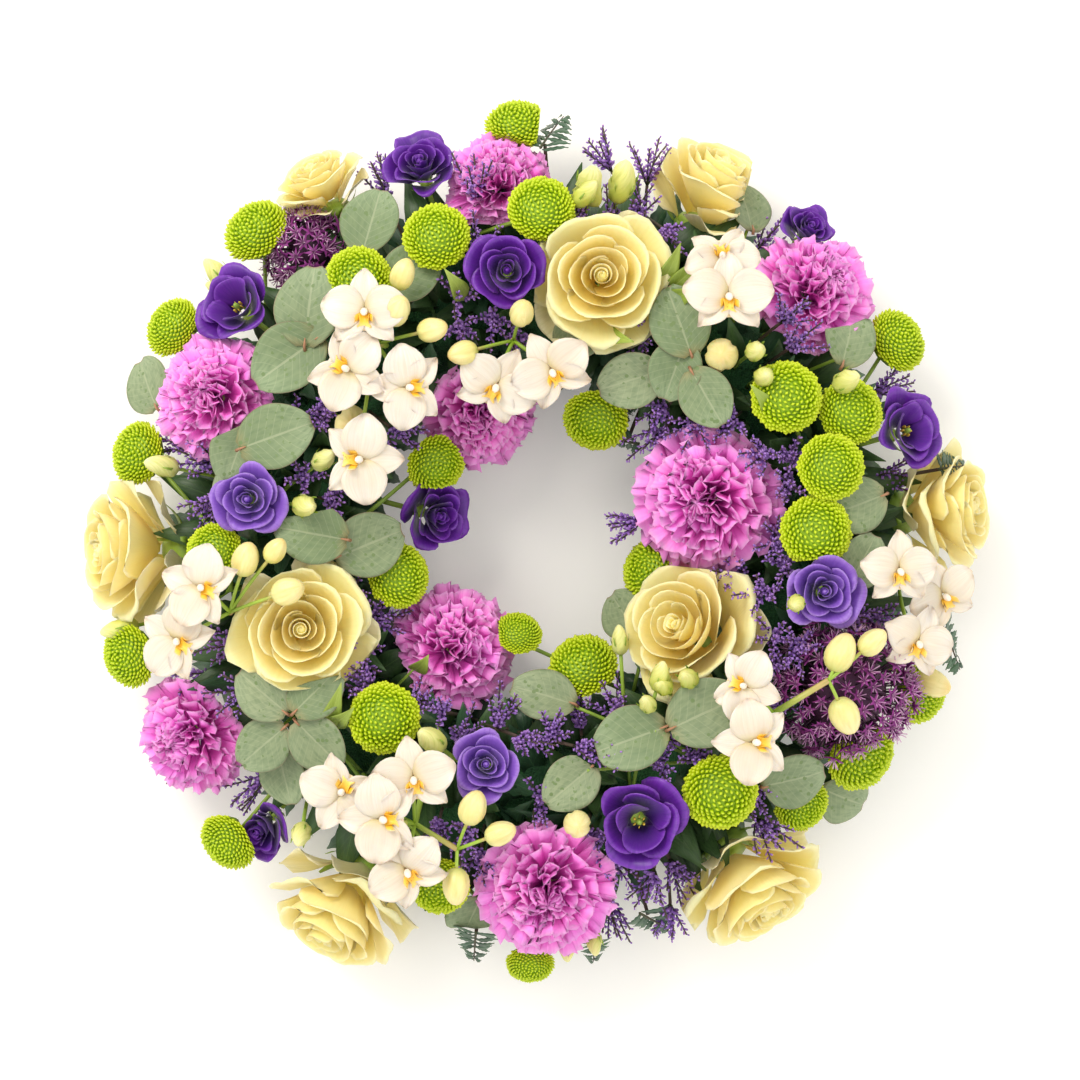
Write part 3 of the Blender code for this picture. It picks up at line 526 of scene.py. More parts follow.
def spiral_rule(head, turns, inner, outer, top, depth, seed):
    """Petals rolled into a tight bud: one strip wound from inner to outer radius."""
    def rule(u, v):
        share = (u + 1.0) / 2.0
        angle = seed + FULL_TURN * turns * share
        rim = max(0.0, v - 0.75) / 0.25
        radius = inner + (outer - inner) * share + 0.012 * rim * rim - 0.03 * (1.0 - v) * share
        wave = 0.018 * math.sin(3.0 * angle + seed)
        height = top - 0.05 * share - depth * (1.0 - v) + wave * v
        return head.place(radius * math.cos(angle), radius * math.sin(angle), height)

    return rule


def heart(piece, head, mesh, girth, middle, tall, finish):
    """Rounded heart of a bloom; mesh is its columns and rings, its girth and heights are in radii."""
    def rule(x, y, z):
        return head.place(girth * x, girth * y, middle + tall * z)

    piece.ball(*mesh, rule, finish)


def dome_way(height, turn, tall, lift=0.0):
    """Way out of a dome of some height, where its surface stands at height (-1 to 1)."""
    polar = math.acos(height)
    level = math.sin(polar)
    return Vector((level * math.cos(turn), level * math.sin(turn), tall * height + lift))


def rose(piece, head, draw):
    """Garden rose: a tight spiral bud in cups of petals that open and roll back outwards."""
    finish = "cream_rose_petal"
    heart(piece, head, (10, 6), 0.10, 0.40, 0.20, finish)
    piece.sheet(60, 5, spiral_rule(head, 2.5, 0.02, 0.15, 0.68, 0.4, head.spin), finish, draw.random())
    petals = 16
    for index in range(petals):
        share = index / (petals - 1)
        turn = head.spin + math.radians(138.5) * index + 0.12 * draw.uniform(-1, 1)
        top = 0.68 - 0.10 * share - 0.40 * share ** 3 + 0.03 * draw.uniform(-1, 1)
        rule = petal_rule(
            head, turn,
            half=math.radians(96 - 50 * share), foot=(0.06 + 0.10 * share, top - 0.50 - 0.22 * share),
            rim=(0.20 + 0.78 * share, top), lean=math.radians(2 + 60 * share ** 1.8),
            curl=0.018 + 0.06 * share, flare=math.radians(45 + 105 * share * draw.uniform(0.7, 1.1)),
            point=0.03 + 0.09 * share, wave=0.014 + 0.035 * share, seed=phase(draw), twist=0.07)
        piece.sheet(12, 10, rule, finish, draw.random())
    for index in range(4):
        rule = petal_rule(
            head, head.spin + 1.6 * index + 0.4, half=math.radians(36), foot=(0.3, -0.45),
            rim=(0.98, -0.06 + 0.05 * draw.random()), lean=math.radians(68), curl=0.05,
            flare=math.radians(60), point=0.06, wave=0.06, seed=phase(draw))
        piece.sheet(14, 8, rule, "rose_guard_petal", draw.random())
    calyx(piece, head, -0.42, 0.34, 0.62)


def calyx(piece, head, height, inner, outer):
    """Green cup under a bloom with five pointed sepals lying along its petals."""
    heart(piece, head, (10, 6), inner, height - 0.08, 0.2, "green_stem")
    for index in range(5):
        turn = head.spin + FULL_TURN * index / 5

        def sepal(u, v, turn=turn):
            angle = turn + 0.28 * u * (1.0 - 0.85 * v)
            radius = inner * 0.8 + (outer - inner * 0.8) * v
            lift = height - 0.12 + 0.24 * v * v
            return head.place(radius * math.cos(angle), radius * math.sin(angle), lift)

        piece.sheet(2, 4, sepal, "green_stem", 0.3)


# Layers of a carnation from its middle outwards:
# petals, (radius, height) of the rim, lean from upright in degrees, half width in degrees
CARNATION_LAYERS = (
    (4, (0.10, 0.50), 4, 78), (5, (0.24, 0.50), 14, 54), (6, (0.40, 0.47), 28, 44),
    (7, (0.57, 0.40), 44, 37), (8, (0.74, 0.27), 60, 32), (9, (0.90, 0.08), 78, 29),
    (9, (0.94, -0.06), 94, 28),
)


def carnation(piece, head, draw):
    """Carnation: layers of pleated fans with cut edges, ruffled tighter towards the middle."""
    across = 22
    for layer, (count, rim, lean, half) in enumerate(CARNATION_LAYERS):
        for index in range(count):
            step = index + 0.5 * (layer % 2) + 0.22 * draw.uniform(-1, 1)
            turn = head.spin + FULL_TURN * step / count
            piece.sheet(across, 5, carnation_rule(head, across, turn, rim, lean, half, layer, draw),
                        "pink_carnation_petal", draw.random() ** 2, 0.3 * MM)
    calyx(piece, head, -0.3, 0.2, 0.32)


def carnation_rule(head, across, turn, rim, lean, half, layer, draw):
    """One fan of a carnation."""
    seed = phase(draw)
    tilt = math.radians(lean + draw.uniform(-13, 13))
    size = draw.uniform(0.88, 1.06)
    folds = draw.uniform(1.7, 3.1)
    foot = (0.05, -0.22)
    top = (rim[0] * size, rim[1] + 0.05 * draw.uniform(-1, 1))
    reach = math.hypot(top[0] - foot[0], top[1] - foot[1])
    middle = (top[0] - 0.55 * reach * math.sin(tilt), top[1] - 0.55 * reach * math.cos(tilt))
    ruffle = 0.11 - 0.006 * layer
    spread = math.radians(half)

    def rule(u, v):
        station = round((u + 1.0) / 2.0 * across)
        cut = 0.020 * (1 - 2 * (station % 2)) * (v > 0.99)
        far = v * (1.0 - 0.12 * abs(u) ** 3 + 0.03 * math.sin(5.0 * u + seed)) + cut
        radius, height = bezier(foot, middle, top, far)
        fold = math.sin(folds * math.pi * u + seed)
        deep = math.cos(2.0 * folds * math.pi * u + 1.3 * seed)
        pleat = 0.008 * (1 - 2 * (station % 2)) * v
        push = ruffle * fold * v * v + 0.35 * ruffle * deep * v ** 3 + pleat
        radius -= push * math.cos(tilt)
        height += push * math.sin(tilt)
        angle = turn + spread * u * (0.25 + 0.75 * v) + 0.16 * spread * deep * v * v
        return head.place(radius * math.cos(angle), radius * math.sin(angle), height)

    return rule


# Lisianthus blooms that differ from a plain violet cup
PALE_LISIANTHUS = ("lisianthus_04", "lisianthus_07", "lisianthus_09")
OPEN_LISIANTHUS = ("lisianthus_08", "lisianthus_02", "lisianthus_06")


def lisianthus(piece, head, draw):
    """Lisianthus: a loose spiral of silky petals with wavy rims."""
    node = piece.name.removesuffix("_fresh")
    finish = "lisianthus_pale_petal" if node in PALE_LISIANTHUS else "violet_lisianthus_petal"
    opened = node in OPEN_LISIANTHUS
    petals = 12
    start = 4 if opened else 0
    if not opened:
        heart(piece, head, (8, 6), 0.10, 0.28, 0.18, finish)
        bud_petals = spiral_rule(head, 1.8, 0.03, 0.16, 0.52, 0.4, head.spin)
        piece.sheet(40, 4, bud_petals, finish, draw.random())
    for index in range(start, petals):
        share = index / (petals - 1)
        top = 0.52 - 0.26 * share ** 1.6 + 0.03 * draw.uniform(-1, 1)
        rule = petal_rule(
            head, head.spin + math.radians(139) * index,
            half=math.radians(95 - 38 * share), foot=(0.08 + 0.1 * share, top - 0.62),
            rim=(0.18 + 0.66 * share, top), lean=math.radians(6 + 50 * share),
            curl=0.03 + 0.05 * share, flare=math.radians(40 + 80 * share), point=0.02,
            wave=0.04 + 0.035 * share, seed=phase(draw), twist=0.09)
        piece.sheet(14, 8, rule, finish, draw.random(), 0.3 * MM)
    if opened:
        for index in range(6):
            turn = FULL_TURN * index / 6

            def anther(x, y, z, turn=turn):
                radius = 0.10 + 0.03 * x
                side = radius * math.sin(turn) + 0.03 * y
                return head.place(radius * math.cos(turn), side, 0.10 + 0.09 * z)

            piece.ball(6, 4, anther, "yellow_anther")
        heart(piece, head, (8, 6), 0.07, 0.12, 0.16, "green_stem")
    calyx(piece, head, -0.42, 0.16, 0.4)


def bud(piece, head, draw):
    """Unopened lisianthus: petals twisted to a point in a green calyx."""
    def twisted(x, y, z):
        turn = math.atan2(y, x) + 1.5 * z
        girth = math.hypot(x, y) * (0.52 - 0.16 * z) * (1.0 + 0.07 * math.sin(5.0 * (turn - 1.2 * z)))
        return head.place(girth * math.cos(turn), girth * math.sin(turn), 1.0 * z)

    piece.ball(15, 10, twisted, "lisianthus_bud", draw.random())
    for index in range(5):
        turn = head.spin + FULL_TURN * index / 5

        def sepal(u, v, turn=turn):
            angle = turn + 0.22 * u * (1.0 - 0.8 * v)
            radius = 0.14 + 0.5 * math.sin(math.pi * 0.55 * v)
            return head.place(radius * math.cos(angle), radius * math.sin(angle), -0.95 + 1.25 * v)

        piece.sheet(2, 4, sepal, "green_stem", 0.4)


def santini(piece, head, draw):
    """Button chrysanthemum: a dome of short curved florets, longest at its edge."""
    heart(piece, head, (12, 8), 0.80, 0.0, 0.50, "santini_heart")
    florets = 300
    for index in range(florets):
        share = (index + 0.5) / florets
        out = dome_way(1.0 - 1.16 * share, head.spin + GOLDEN_TURN * index, 0.62, 0.03)
        size = 0.054 + 0.020 * share ** 1.5
        length = 0.16 + 0.20 * share
        tip = out * (0.95 + 0.035 * draw.uniform(-1, 1))
        way = (out + Vector((0.0, 0.0, 0.25 - 0.2 * share))).normalized()
        side = way.cross(Vector((0.0, 0.0, 1.0))).normalized()
        lift = side.cross(way)
        bow = 0.03 + 0.09 * share
        floret = floret_rule(head, tip, way, side, lift, size, length, bow)
        piece.ball(4, 3 if share < 0.65 else 4, floret, "lime_santini_floret", share)


def floret_rule(head, tip, way, side, lift, size, length, bow):
    """Curved tube that ends at a tip; side and lift are the ways across it."""
    def rule(x, y, z):
        along = 0.5 * (1.0 + z)
        spot = tip - way * (length * (1.0 - along)) + lift * (bow * along * along)
        return head.place(*(spot + side * (size * 1.25 * x) + lift * (size * 0.8 * y)))

    return rule


# Tepals of a moth orchid: turn from the lip in degrees, length, half width, how blunt
ORCHID_TEPALS = (
    (180, 0.96, 0.34, 0.80), (44, 0.94, 0.31, 0.85), (-44, 0.94, 0.31, 0.85),
    (98, 1.0, 0.50, 0.62), (-98, 1.0, 0.50, 0.62),
)


def orchid(piece, head, draw):
    """Moth orchid: three sepals, two broad petals over them, a small lip and a column."""
    for order, (turn, length, width, blunt) in enumerate(ORCHID_TEPALS):
        seed = phase(draw)
        front = 0.05 * (order > 2)
        cup = draw.uniform(0.05, 0.16)

        def tepal(u, v, turn=math.radians(turn), length=length, width=width, blunt=blunt, seed=seed,
                  front=front, cup=cup):
            far = 0.03 + (length - 0.03) * v - 0.05 * abs(u) ** 2 * v
            broad = width * (0.10 + 0.90 * math.sin(math.pi * (0.03 + 0.94 * v) ** 0.9) ** blunt)
            side = broad * u
            height = front + 0.10 * math.sin(math.pi * v * 0.8) + cup * u * u * v - 0.10 * v * v
            height += 0.03 * math.sin(3.0 * u + seed) * v + 0.015 * math.sin(7.0 * u + seed) * v
            x = far * math.cos(turn) - side * math.sin(turn)
            y = far * math.sin(turn) + side * math.cos(turn)
            return head.place(x, y, height)

        piece.sheet(9, 8, tepal, "orchid_tepal", draw.random(), 0.5 * MM)

    def column(x, y, z):
        return head.place(0.05 + 0.10 * x, 0.085 * y, 0.16 + 0.11 * z + 0.05 * x)

    def lip(u, v):
        width = 0.13 * (1.0 - 0.55 * v) + 0.10 * bell(v - 0.78, 0.16)
        height = 0.04 + 0.10 * u * u * (1.0 - v) + 0.16 * v * (1.0 - v)
        return head.place(0.08 + 0.40 * v, width * u, height)

    piece.ball(9, 7, column, "orchid_column")
    piece.sheet(6, 7, lip, "orchid_lip", draw.random(), 0.6 * MM)
    for hand in (-1.0, 1.0):
        def lobe(u, v, hand=hand):
            return head.place(0.12 + 0.13 * v + 0.08 * u, hand * (0.07 + 0.14 * math.sin(1.6 * v)),
                              0.06 + 0.24 * v - 0.03 * u * u)

        piece.sheet(3, 4, lobe, "orchid_lip", draw.random(), 0.6 * MM)


def orchid_bud(piece, head, draw):
    """Closed orchid bud: an egg with the seams of its sepals."""
    def egg(x, y, z):
        turn = math.atan2(y, x)
        girth = (0.66 - 0.10 * z) * (1.0 - 0.13 * bell(math.sin(1.5 * turn + 0.4), 0.22))
        return head.place(girth * x, girth * y, 0.92 * z)

    piece.ball(24, 10, egg, "orchid_bud_skin", draw.random())


def leaf_rule(head, length, width, fold, curl, seed, tip=0.0):
    """Blade of a leaf lying in its head's plane, folded along its midrib."""
    def rule(u, v):
        swell = math.sin(math.pi * (0.02 + 0.96 * v) ** (0.92 + tip)) ** (0.62 + tip)
        broad = width * (0.05 + 0.95 * swell)
        x = length * (2.0 * v - 1.0) - 0.06 * length * u * u * (0.5 - v)
        y = broad * u
        z = fold * abs(y) - curl * (v - 0.45) ** 2 + 0.035 * math.sin(4.0 * v + 2.0 * u + seed)
        z += 0.02 * math.sin(9.0 * v + seed) * u * u
        return head.place(x, y, z)

    return rule


def eucalyptus(piece, head, draw):
    """Round eucalyptus leaf, folded a little and wavy at its margin."""
    rule = leaf_rule(head, 0.98, 0.84, draw.uniform(0.05, 0.32), draw.uniform(0.1, 0.4), phase(draw))
    piece.sheet(14, 14, rule, "waxy_eucalyptus_leaf", draw.random(), 0.45 * MM)
    joint = [head.place(-1.08, 0.0, -0.10), head.place(-0.98, 0.0, 0.02), head.place(-0.8, 0.0, 0.04)]
    piece.rod(joint, [0.0009, 0.0007, 0.0003], "red_node", 6)


def star_floret():
    """Star of six narrow petals round a small middle, one unit across; merged into a mesh."""
    part = bmesh.new()
    part.verts.layers.float_vector.new("grain")
    bmesh.ops.create_circle(part, cap_ends=True, cap_tris=True, segments=12, radius=0.5)
    grain = part.verts.layers.float_vector["grain"]
    for vert in part.verts:
        far = vert.co.length
        turn = math.atan2(vert.co.y, vert.co.x)
        tip = 0.5 + 0.5 * math.cos(6.0 * turn)
        if far > 0.01:
            vert.co *= 0.34 + 0.66 * round(tip)
            vert.co.z = 0.10 * round(tip)
        vert[grain] = (tip, min(1.0, 2.0 * vert.co.length), 0.5)
    bmesh.ops.solidify(part, geom=part.faces[:], thickness=0.05)
    bmesh.ops.recalc_face_normals(part, faces=part.faces)
    for index in range(6):
        turn = FULL_TURN * (index + 0.5) / 6
        way = Vector((0.34 * math.cos(turn), 0.34 * math.sin(turn), 0.42))
        place = Matrix.Translation(way * 0.5) @ way.to_track_quat("Z", "X").to_matrix().to_4x4()
        made = bmesh.ops.create_cone(part, cap_ends=True, segments=3, radius1=0.022, radius2=0.03,
                                     depth=way.length, matrix=place)
        for vert in made["verts"]:
            vert[grain] = (1.0, 2.0, 0.5)
    data = bpy.data.meshes.new("star_floret")
    part.to_mesh(data)
    part.free()
    return data


def allium(piece, head, draw):
    """Flowering onion: a ball of small stars on thin stalks, pointing every way."""
    star = star_floret()
    heart(piece, head, (14, 10), 0.55, 0.0, 0.50, "allium_heart")
    florets = round(230 * (head.radius / 0.035) ** 1.5)
    size = 0.0095
    for index in range(florets):
        turn = head.spin + GOLDEN_TURN * index + draw.uniform(-0.2, 0.2)
        out = dome_way(1.0 - 1.75 * (index + 0.5) / florets, turn, 0.88)
        far = draw.uniform(0.78, 0.98)
        spot = head.place(*(out * far))
        root = head.place(*(out * 0.45))
        facing = (spot - root).normalized() + Vector([draw.uniform(-0.45, 0.45) for axis in range(3)])
        place = Matrix.Translation(spot) @ facing.to_track_quat("Z", "X").to_matrix().to_4x4()
        place = place @ Matrix.Rotation(phase(draw), 4, "Z")
        place = place @ Matrix.Scale(size * draw.uniform(0.8, 1.1), 4)
        part = bmesh.new()
        part.from_mesh(star)
        bmesh.ops.transform(part, matrix=place, verts=part.verts)
        shade = draw.random()
        grain = part.verts.layers.float_vector["grain"]
        for vert in part.verts:
            vert[grain] = (vert[grain].x, vert[grain].y, shade)
        piece.take(part, "wine_allium_floret")
        piece.rod([root, spot], [0.0004, 0.0004], "allium_heart", 3)
    bpy.data.meshes.remove(star)


def spike(piece, start, end, draw, count, size):
    """Twig of statice with small papery florets up both its sides."""
    stem = bent_stem(start, end, draw.uniform(-0.08, 0.08) * (end - start).length, 4)
    piece.rod(stem, [0.0005] * len(stem), "dark_twig", 3)
    run = end - start
    side = run.cross(Vector((0.2, 0.3, 1.0))).normalized()
    for index in range(count):
        share = (index + 0.5) / count
        spot = start + run * (0.15 + 0.88 * share)
        turn = 2.4 * index + draw.uniform(-0.5, 0.5)
        out = (side * math.cos(turn) + run.normalized().cross(side) * math.sin(turn)).normalized()
        way = (out + run.normalized() * 0.9).normalized()
        grow = size * (1.1 - 0.5 * share) * draw.uniform(0.8, 1.2)
        spot = spot + out * (size * 0.35)
        across = way.orthogonal().normalized()
        above = way.cross(across)

        def floret(x, y, z, spot=spot, way=way, across=across, above=above, grow=grow):
            girth = grow * (0.26 + 0.22 * z)
            return spot + across * (x * girth) + above * (y * girth) + way * (grow * 0.75 * z)

        piece.ball(4, 3, floret, "statice_bract", draw.random())


def statice(piece, head, draw):
    """Brush of statice: a few thin spikes of florets that part from one twig."""
    root = head.place(0.0, 0.0, -0.9)
    for index in range(6):
        turn = head.spin + FULL_TURN * index / 6 + draw.uniform(-0.4, 0.4)
        spread = draw.uniform(0.5, 1.1) * (index > 0)
        tip = head.place(spread * math.cos(turn), spread * math.sin(turn), draw.uniform(0.6, 1.0))
        spike(piece, root, tip, draw, 16, 0.0029)


def fern(piece, head, draw):
    """Leatherleaf frond: a rib with toothed leaflets to both sides, shorter to its tip."""
    frond(piece, lambda x, y, z: head.place(x, y, z), 1.0, 0.62, draw)


def frond(piece, place, length, width, draw, pairs=9):
    """Leaflets along a rib; place puts a point of the frond's own plane on the wreath."""
    rib = [place(length * (2.0 * step / 8 - 1.0), 0.0, 0.04 - 0.1 * (step / 8 - 0.4) ** 2)
           for step in range(9)]
    piece.rod(rib, [0.0007 - 0.00006 * step for step in range(9)], "dark_twig", 4)
    for index in range(pairs):
        share = (index + 0.4) / pairs
        for hand in (-1.0, 1.0):
            root = length * (2.0 * share - 1.0)
            reach = width * (1.0 - 0.75 * share ** 1.4)
            seed = phase(draw)

            def leaflet(u, v, root=root, reach=reach, hand=hand, seed=seed):
                tooth = 0.018 * (1 - 2 * (round(v * 8) % 2)) * (abs(u) > 0.9)
                broad = 0.12 * math.sin(math.pi * (0.12 + 0.86 * v)) + tooth
                x = root + 0.55 * reach * v + broad * u
                y = hand * reach * (0.05 + 0.95 * v) * 0.9
                return place(x, y, 0.02 + 0.05 * math.sin(3.0 * v + seed) - 0.10 * v * v)

            piece.sheet(2, 8, leaflet, "fern_leaf", draw.random(), 0.3 * MM)


def blade_rule(base, tip, face, width, bow, seed, teeth=0):
    """Pointed leaf from base to tip whose upper side looks along face."""
    run = tip - base
    side = run.cross(face).normalized()
    out = side.cross(run).normalized()
    length = run.length

    def rule(u, v):
        broad = width * (0.05 + 0.95 * math.sin(math.pi * v ** 0.85)) * (1.0 - 0.35 * v)
        if teeth:
            broad *= 1.0 + 0.12 * (1 - 2 * (round(v * teeth) % 2)) * abs(u)
        rise = bow * length * math.sin(math.pi * v) + 0.25 * broad * abs(u)
        rise += 0.02 * length * math.sin(7.0 * v + seed)
        return base + run * v + side * (broad * u) + out * rise

    return rule


def ring_point(turn, radius, height):
    """Point at an angle, distance from the wreath's middle, and height."""
    return Vector((radius * math.cos(turn), radius * math.sin(turn), height))


# Tiers of leaves that clothe the foam: name of the finish, leaves, then (radius, height) in mm
# of the base and of the tip, half width in mm, teeth
CLOTHING = (
    ("dark_leaf", 64, (153, 20), (178, 4), 7.0, 0),
    ("fern_leaf", 60, (154, 34), (186, 22), 6.5, 10),
    ("dark_leaf", 58, (149, 45), (188, 47), 7.5, 0),
    ("dark_leaf", 44, (98, 20), (84, 5), 6.5, 0),
    ("fern_leaf", 42, (97, 34), (76, 24), 6.0, 10),
    ("dark_leaf", 40, (103, 45), (78, 52), 6.5, 0),
)


# Leaves that stand on the foam between the stems
GAP_LEAVES = 340
# Sprigs of statice for the free spots over the foam: spots tried, how far from the ring's middle
# line, the clear room that a head needs (share of its radius, metres more), and a sprig's own
SPOTS_TRIED = 1600
SPOT_REACH = 0.062
HEAD_ROOM = (0.75, 0.005)
SPRIG_ROOM = 0.012


def clothing(piece, draw):
    """Leaves pinned along both sides of the foam, in tiers that hang over each other."""
    for finish, count, base, tip, width, teeth in CLOTHING:
        for index in range(count):
            turn = FULL_TURN * (index + draw.uniform(-0.3, 0.3)) / count
            lean = draw.uniform(-0.10, 0.10)
            start = ring_point(turn, base[0] * MM, (base[1] + draw.uniform(-3, 3)) * MM)
            end = ring_point(turn + lean, tip[0] * MM + draw.uniform(-4, 3) * MM,
                             max(2.5, tip[1] + draw.uniform(-3, 4)) * MM)
            face = Vector((0.0, 0.0, 1.0)) + (end - start).normalized() * 0.2
            rule = blade_rule(start, end, face, width * draw.uniform(0.8, 1.25) * MM,
                              draw.uniform(0.06, 0.2), phase(draw), teeth)
            piece.sheet(2, 10 if teeth else 6, rule, finish, draw.random(), 0.4 * MM)


def gap_leaves(piece, draw):
    """Dark leaves and fern tips that stand on the foam between the stems."""
    for index in range(GAP_LEAVES):
        turn = GOLDEN_TURN * index
        radius = RING_RADIUS + FOAM_HALF_WIDTH * 0.85 * draw.uniform(-1, 1)
        out = (radius - RING_RADIUS) / FOAM_HALF_WIDTH
        start = ring_point(turn, radius, FOAM_TOP - 0.004 - 0.012 * out * out)
        way = ring_point(turn, out * 0.75 + draw.uniform(-0.4, 0.4), 1.0)
        way += Vector((draw.uniform(-1.1, 1.1), draw.uniform(-1.1, 1.1), 0.0))
        end = start + way.normalized() * draw.uniform(0.024, 0.044)
        face = Vector((draw.uniform(-1, 1), draw.uniform(-1, 1), 1.8))
        fern_like = index % 3 == 0
        rule = blade_rule(start, end, face, draw.uniform(5.5, 9.5) * MM, draw.uniform(-0.1, 0.2),
                          phase(draw), 10 if fern_like else 0)
        piece.sheet(2, 10 if fern_like else 6, rule, "fern_leaf" if fern_like else "dark_leaf",
                    draw.random(), 0.35 * MM)


# Light green pointed leaves between the blooms: base x, y, reach and tip x, y, reach in mm
LIGHT_LEAVES = (
    ((58, 118, 62), (82, 138, 86)), ((62, 116, 62), (76, 120, 84)), ((56, 122, 62), (66, 140, 84)),
    ((-36, 116, 60), (-44, 128, 82)), ((-98, -84, 60), (-86, -76, 80)),
    ((-102, -88, 60), (-92, -64, 80)), ((110, 60, 60), (98, 74, 84)),
    ((-60, -60, 60), (-52, -52, 80)), ((34, 98, 60), (44, 94, 84)),
)


def light_leaves(piece, draw):
    """Young light green leaves that stand among the blooms."""
    for base, tip in LIGHT_LEAVES:
        core, axis, reach = seat(base[0] * MM, base[1] * MM, base[2] * MM)
        start = core + axis * reach
        foot = core + axis * 0.026
        core, axis, reach = seat(tip[0] * MM, tip[1] * MM, tip[2] * MM)
        end = core + axis * reach
        piece.rod([foot, start], [0.0008, 0.0006], "green_stem", 5)
        rule = blade_rule(start, end, Vector((0.2, -0.1, 1.0)), 5.5 * MM, 0.16, phase(draw))
        piece.sheet(6, 10, rule, "light_leaf", draw.random(), 0.4 * MM)


# Blooms, buds and leaves between the named ones: kind, x, y, radius (mm), lift (mm), spin (degrees)
FILL = {
    "statice_between": [
        ("statice", -32, 171, 13, 2, 100), ("statice", 123, 96, 13, 2, 40),
        ("statice", 90, 58, 11, -2, 200), ("statice", 57, 61, 11, -4, 180),
        ("statice", -141, -71, 12, -2, 30), ("statice", 104, -22, 11, -4, 250),
        ("statice", 41, 9, 9, -8, 190), ("statice", 109, -137, 12, 0, 330),
        ("statice", -100, 62, 12, 0, 20), ("statice", -60, -74, 11, -2, 60),
        ("statice", 118, 108, 11, 4, 300), ("statice", 38, -100, 10, -2, 30)],
    "eucalyptus_between": [
        ("leaf", 146, 98, 15, -2, 70), ("leaf", 149, 18, 15, -4, 200), ("leaf", 120, -111, 15, -4, 10),
        ("leaf", 144, -120, 15, -6, 330), ("leaf", -32, -177, 14, -6, 250), ("leaf", -60, 128, 15, -6, 40),
        ("leaf", -142, 24, 13, -6, 120), ("leaf", 60, -20, 12, -14, 120), ("leaf", 20, 100, 13, -8, 30),
        ("leaf", 152, -8, 13, -4, 60), ("leaf", -120, -110, 13, -8, 280)],
    "buds_between": [
        ("bud", -152, 122, 9, 0, 150), ("bud", 145, 77, 9, 4, 10), ("bud", 102, 91, 8, 2, 60),
        ("bud", 106, 79, 8, 2, 20), ("bud", -178, 37, 9, 0, 170), ("bud", 24, 168, 13, 4, 100),
        ("bud", 39, 171, 12, 4, 80), ("bud", 58, -66, 8, 6, 200), ("bud", 70, -63, 8, 6, 300),
        ("bud", 51, -75, 7, 6, 200), ("bud", -66, -131, 7, 2, 120), ("bud", -197, -40, 9, -2, 190),
        ("bud", 13, -190, 8, -4, 260), ("bud", 26, -188, 7, -4, 280)],
    "cream_buds_between": [
        ("orchid_bud", -89, 57, 12, -6, 30), ("orchid_bud", 86, 89, 11, -6, 60),
        ("orchid_bud", 18, -132, 9, 0, 250), ("orchid_bud", 186, -66, 10, 0, 330)],
    "orchid_between": [("orchid", 86, 134, 17, -1, 100), ("orchid", -198, 2, 12, -8, 150)],
    "fern_between": [
        ("fern", -30, -188, 19, 2, 262), ("fern", 57, -178, 20, 0, 300), ("fern", 26, -190, 15, 0, 275),
        ("fern", 194, 36, 16, 0, 10), ("fern", 34, 50, 15, -4, 200), ("fern", 40, 62, 16, -6, 240)],
}


def gap_rows(heads, draw):
    """Rows of statice for the gaps that the blooms leave over the foam."""
    rows = []
    share, more = HEAD_ROOM
    taken = [(head.centre.x, head.centre.y, share * head.radius + more) for head in heads]
    for index in range(SPOTS_TRIED):
        turn = GOLDEN_TURN * index
        radius = RING_RADIUS + SPOT_REACH * draw.uniform(-1, 1)
        x = radius * math.cos(turn)
        y = radius * math.sin(turn)
        if all(math.hypot(x - a, y - b) > clear for a, b, clear in taken):
            rows.append(("statice", x / MM, y / MM, 12, draw.uniform(-12, -3), math.degrees(turn)))
            taken.append((x, y, SPRIG_ROOM))
    return rows

def linear(code):
    """Linear colour of an sRGB hex value."""
    channels = [int(code[at:at + 2], 16) / 255.0 for at in (0, 2, 4)]
    return tuple(c / 12.92 if c <= 0.04045 else ((c + 0.055) / 1.055) ** 2.4 for c in channels) + (1.0,)


def add_node(material, kind, settings=None, links=None):
    """Add one node with its settings, and link or set its inputs."""
    tree = material.node_tree
    node = tree.nodes.new(kind)
    for name, value in (settings or {}).items():
        setattr(node, name, value)
    for socket, value in (links or {}).items():
        if isinstance(value, bpy.types.NodeSocket):
            tree.links.new(value, node.inputs[socket])
        else:
            node.inputs[socket].default_value = value
    return node


def new_finish(name, roughness, **fixed):
    """Empty material with its shader; returns both."""
    material = bpy.data.materials.new(name)
    material.use_nodes = True
    shader = material.node_tree.nodes["Principled BSDF"]
    shader.inputs["Roughness"].default_value = roughness
    for socket, value in fixed.items():
        shader.inputs[socket.replace("_", " ")].default_value = value
    return material, shader


def ramp(material, value, stops):
    """Colour ramp through (position, hex) stops."""
    node = add_node(material, "ShaderNodeValToRGB", links={"Fac": value})
    elements = node.color_ramp.elements
    while len(elements) < len(stops):
        elements.new(0.5)
    for element, (position, code) in zip(elements, sorted(stops)):
        element.position = position
        element.color = linear(code)
    return node.outputs["Color"]


def blend_colour(material, share, first, second, mode="MIX"):
    """Mix two colours by a share."""
    node = add_node(material, "ShaderNodeMix", {"data_type": "RGBA", "blend_type": mode},
                    {0: share, 6: first, 7: second})
    return node.outputs[2]


def reckon(material, operation, first, second=0.0, third=0.0, clamp=False):
    """One sum of two or three numbers."""
    node = add_node(material, "ShaderNodeMath", {"operation": operation, "use_clamp": clamp},
                    {0: first, 1: second, 2: third})
    return node.outputs[0]


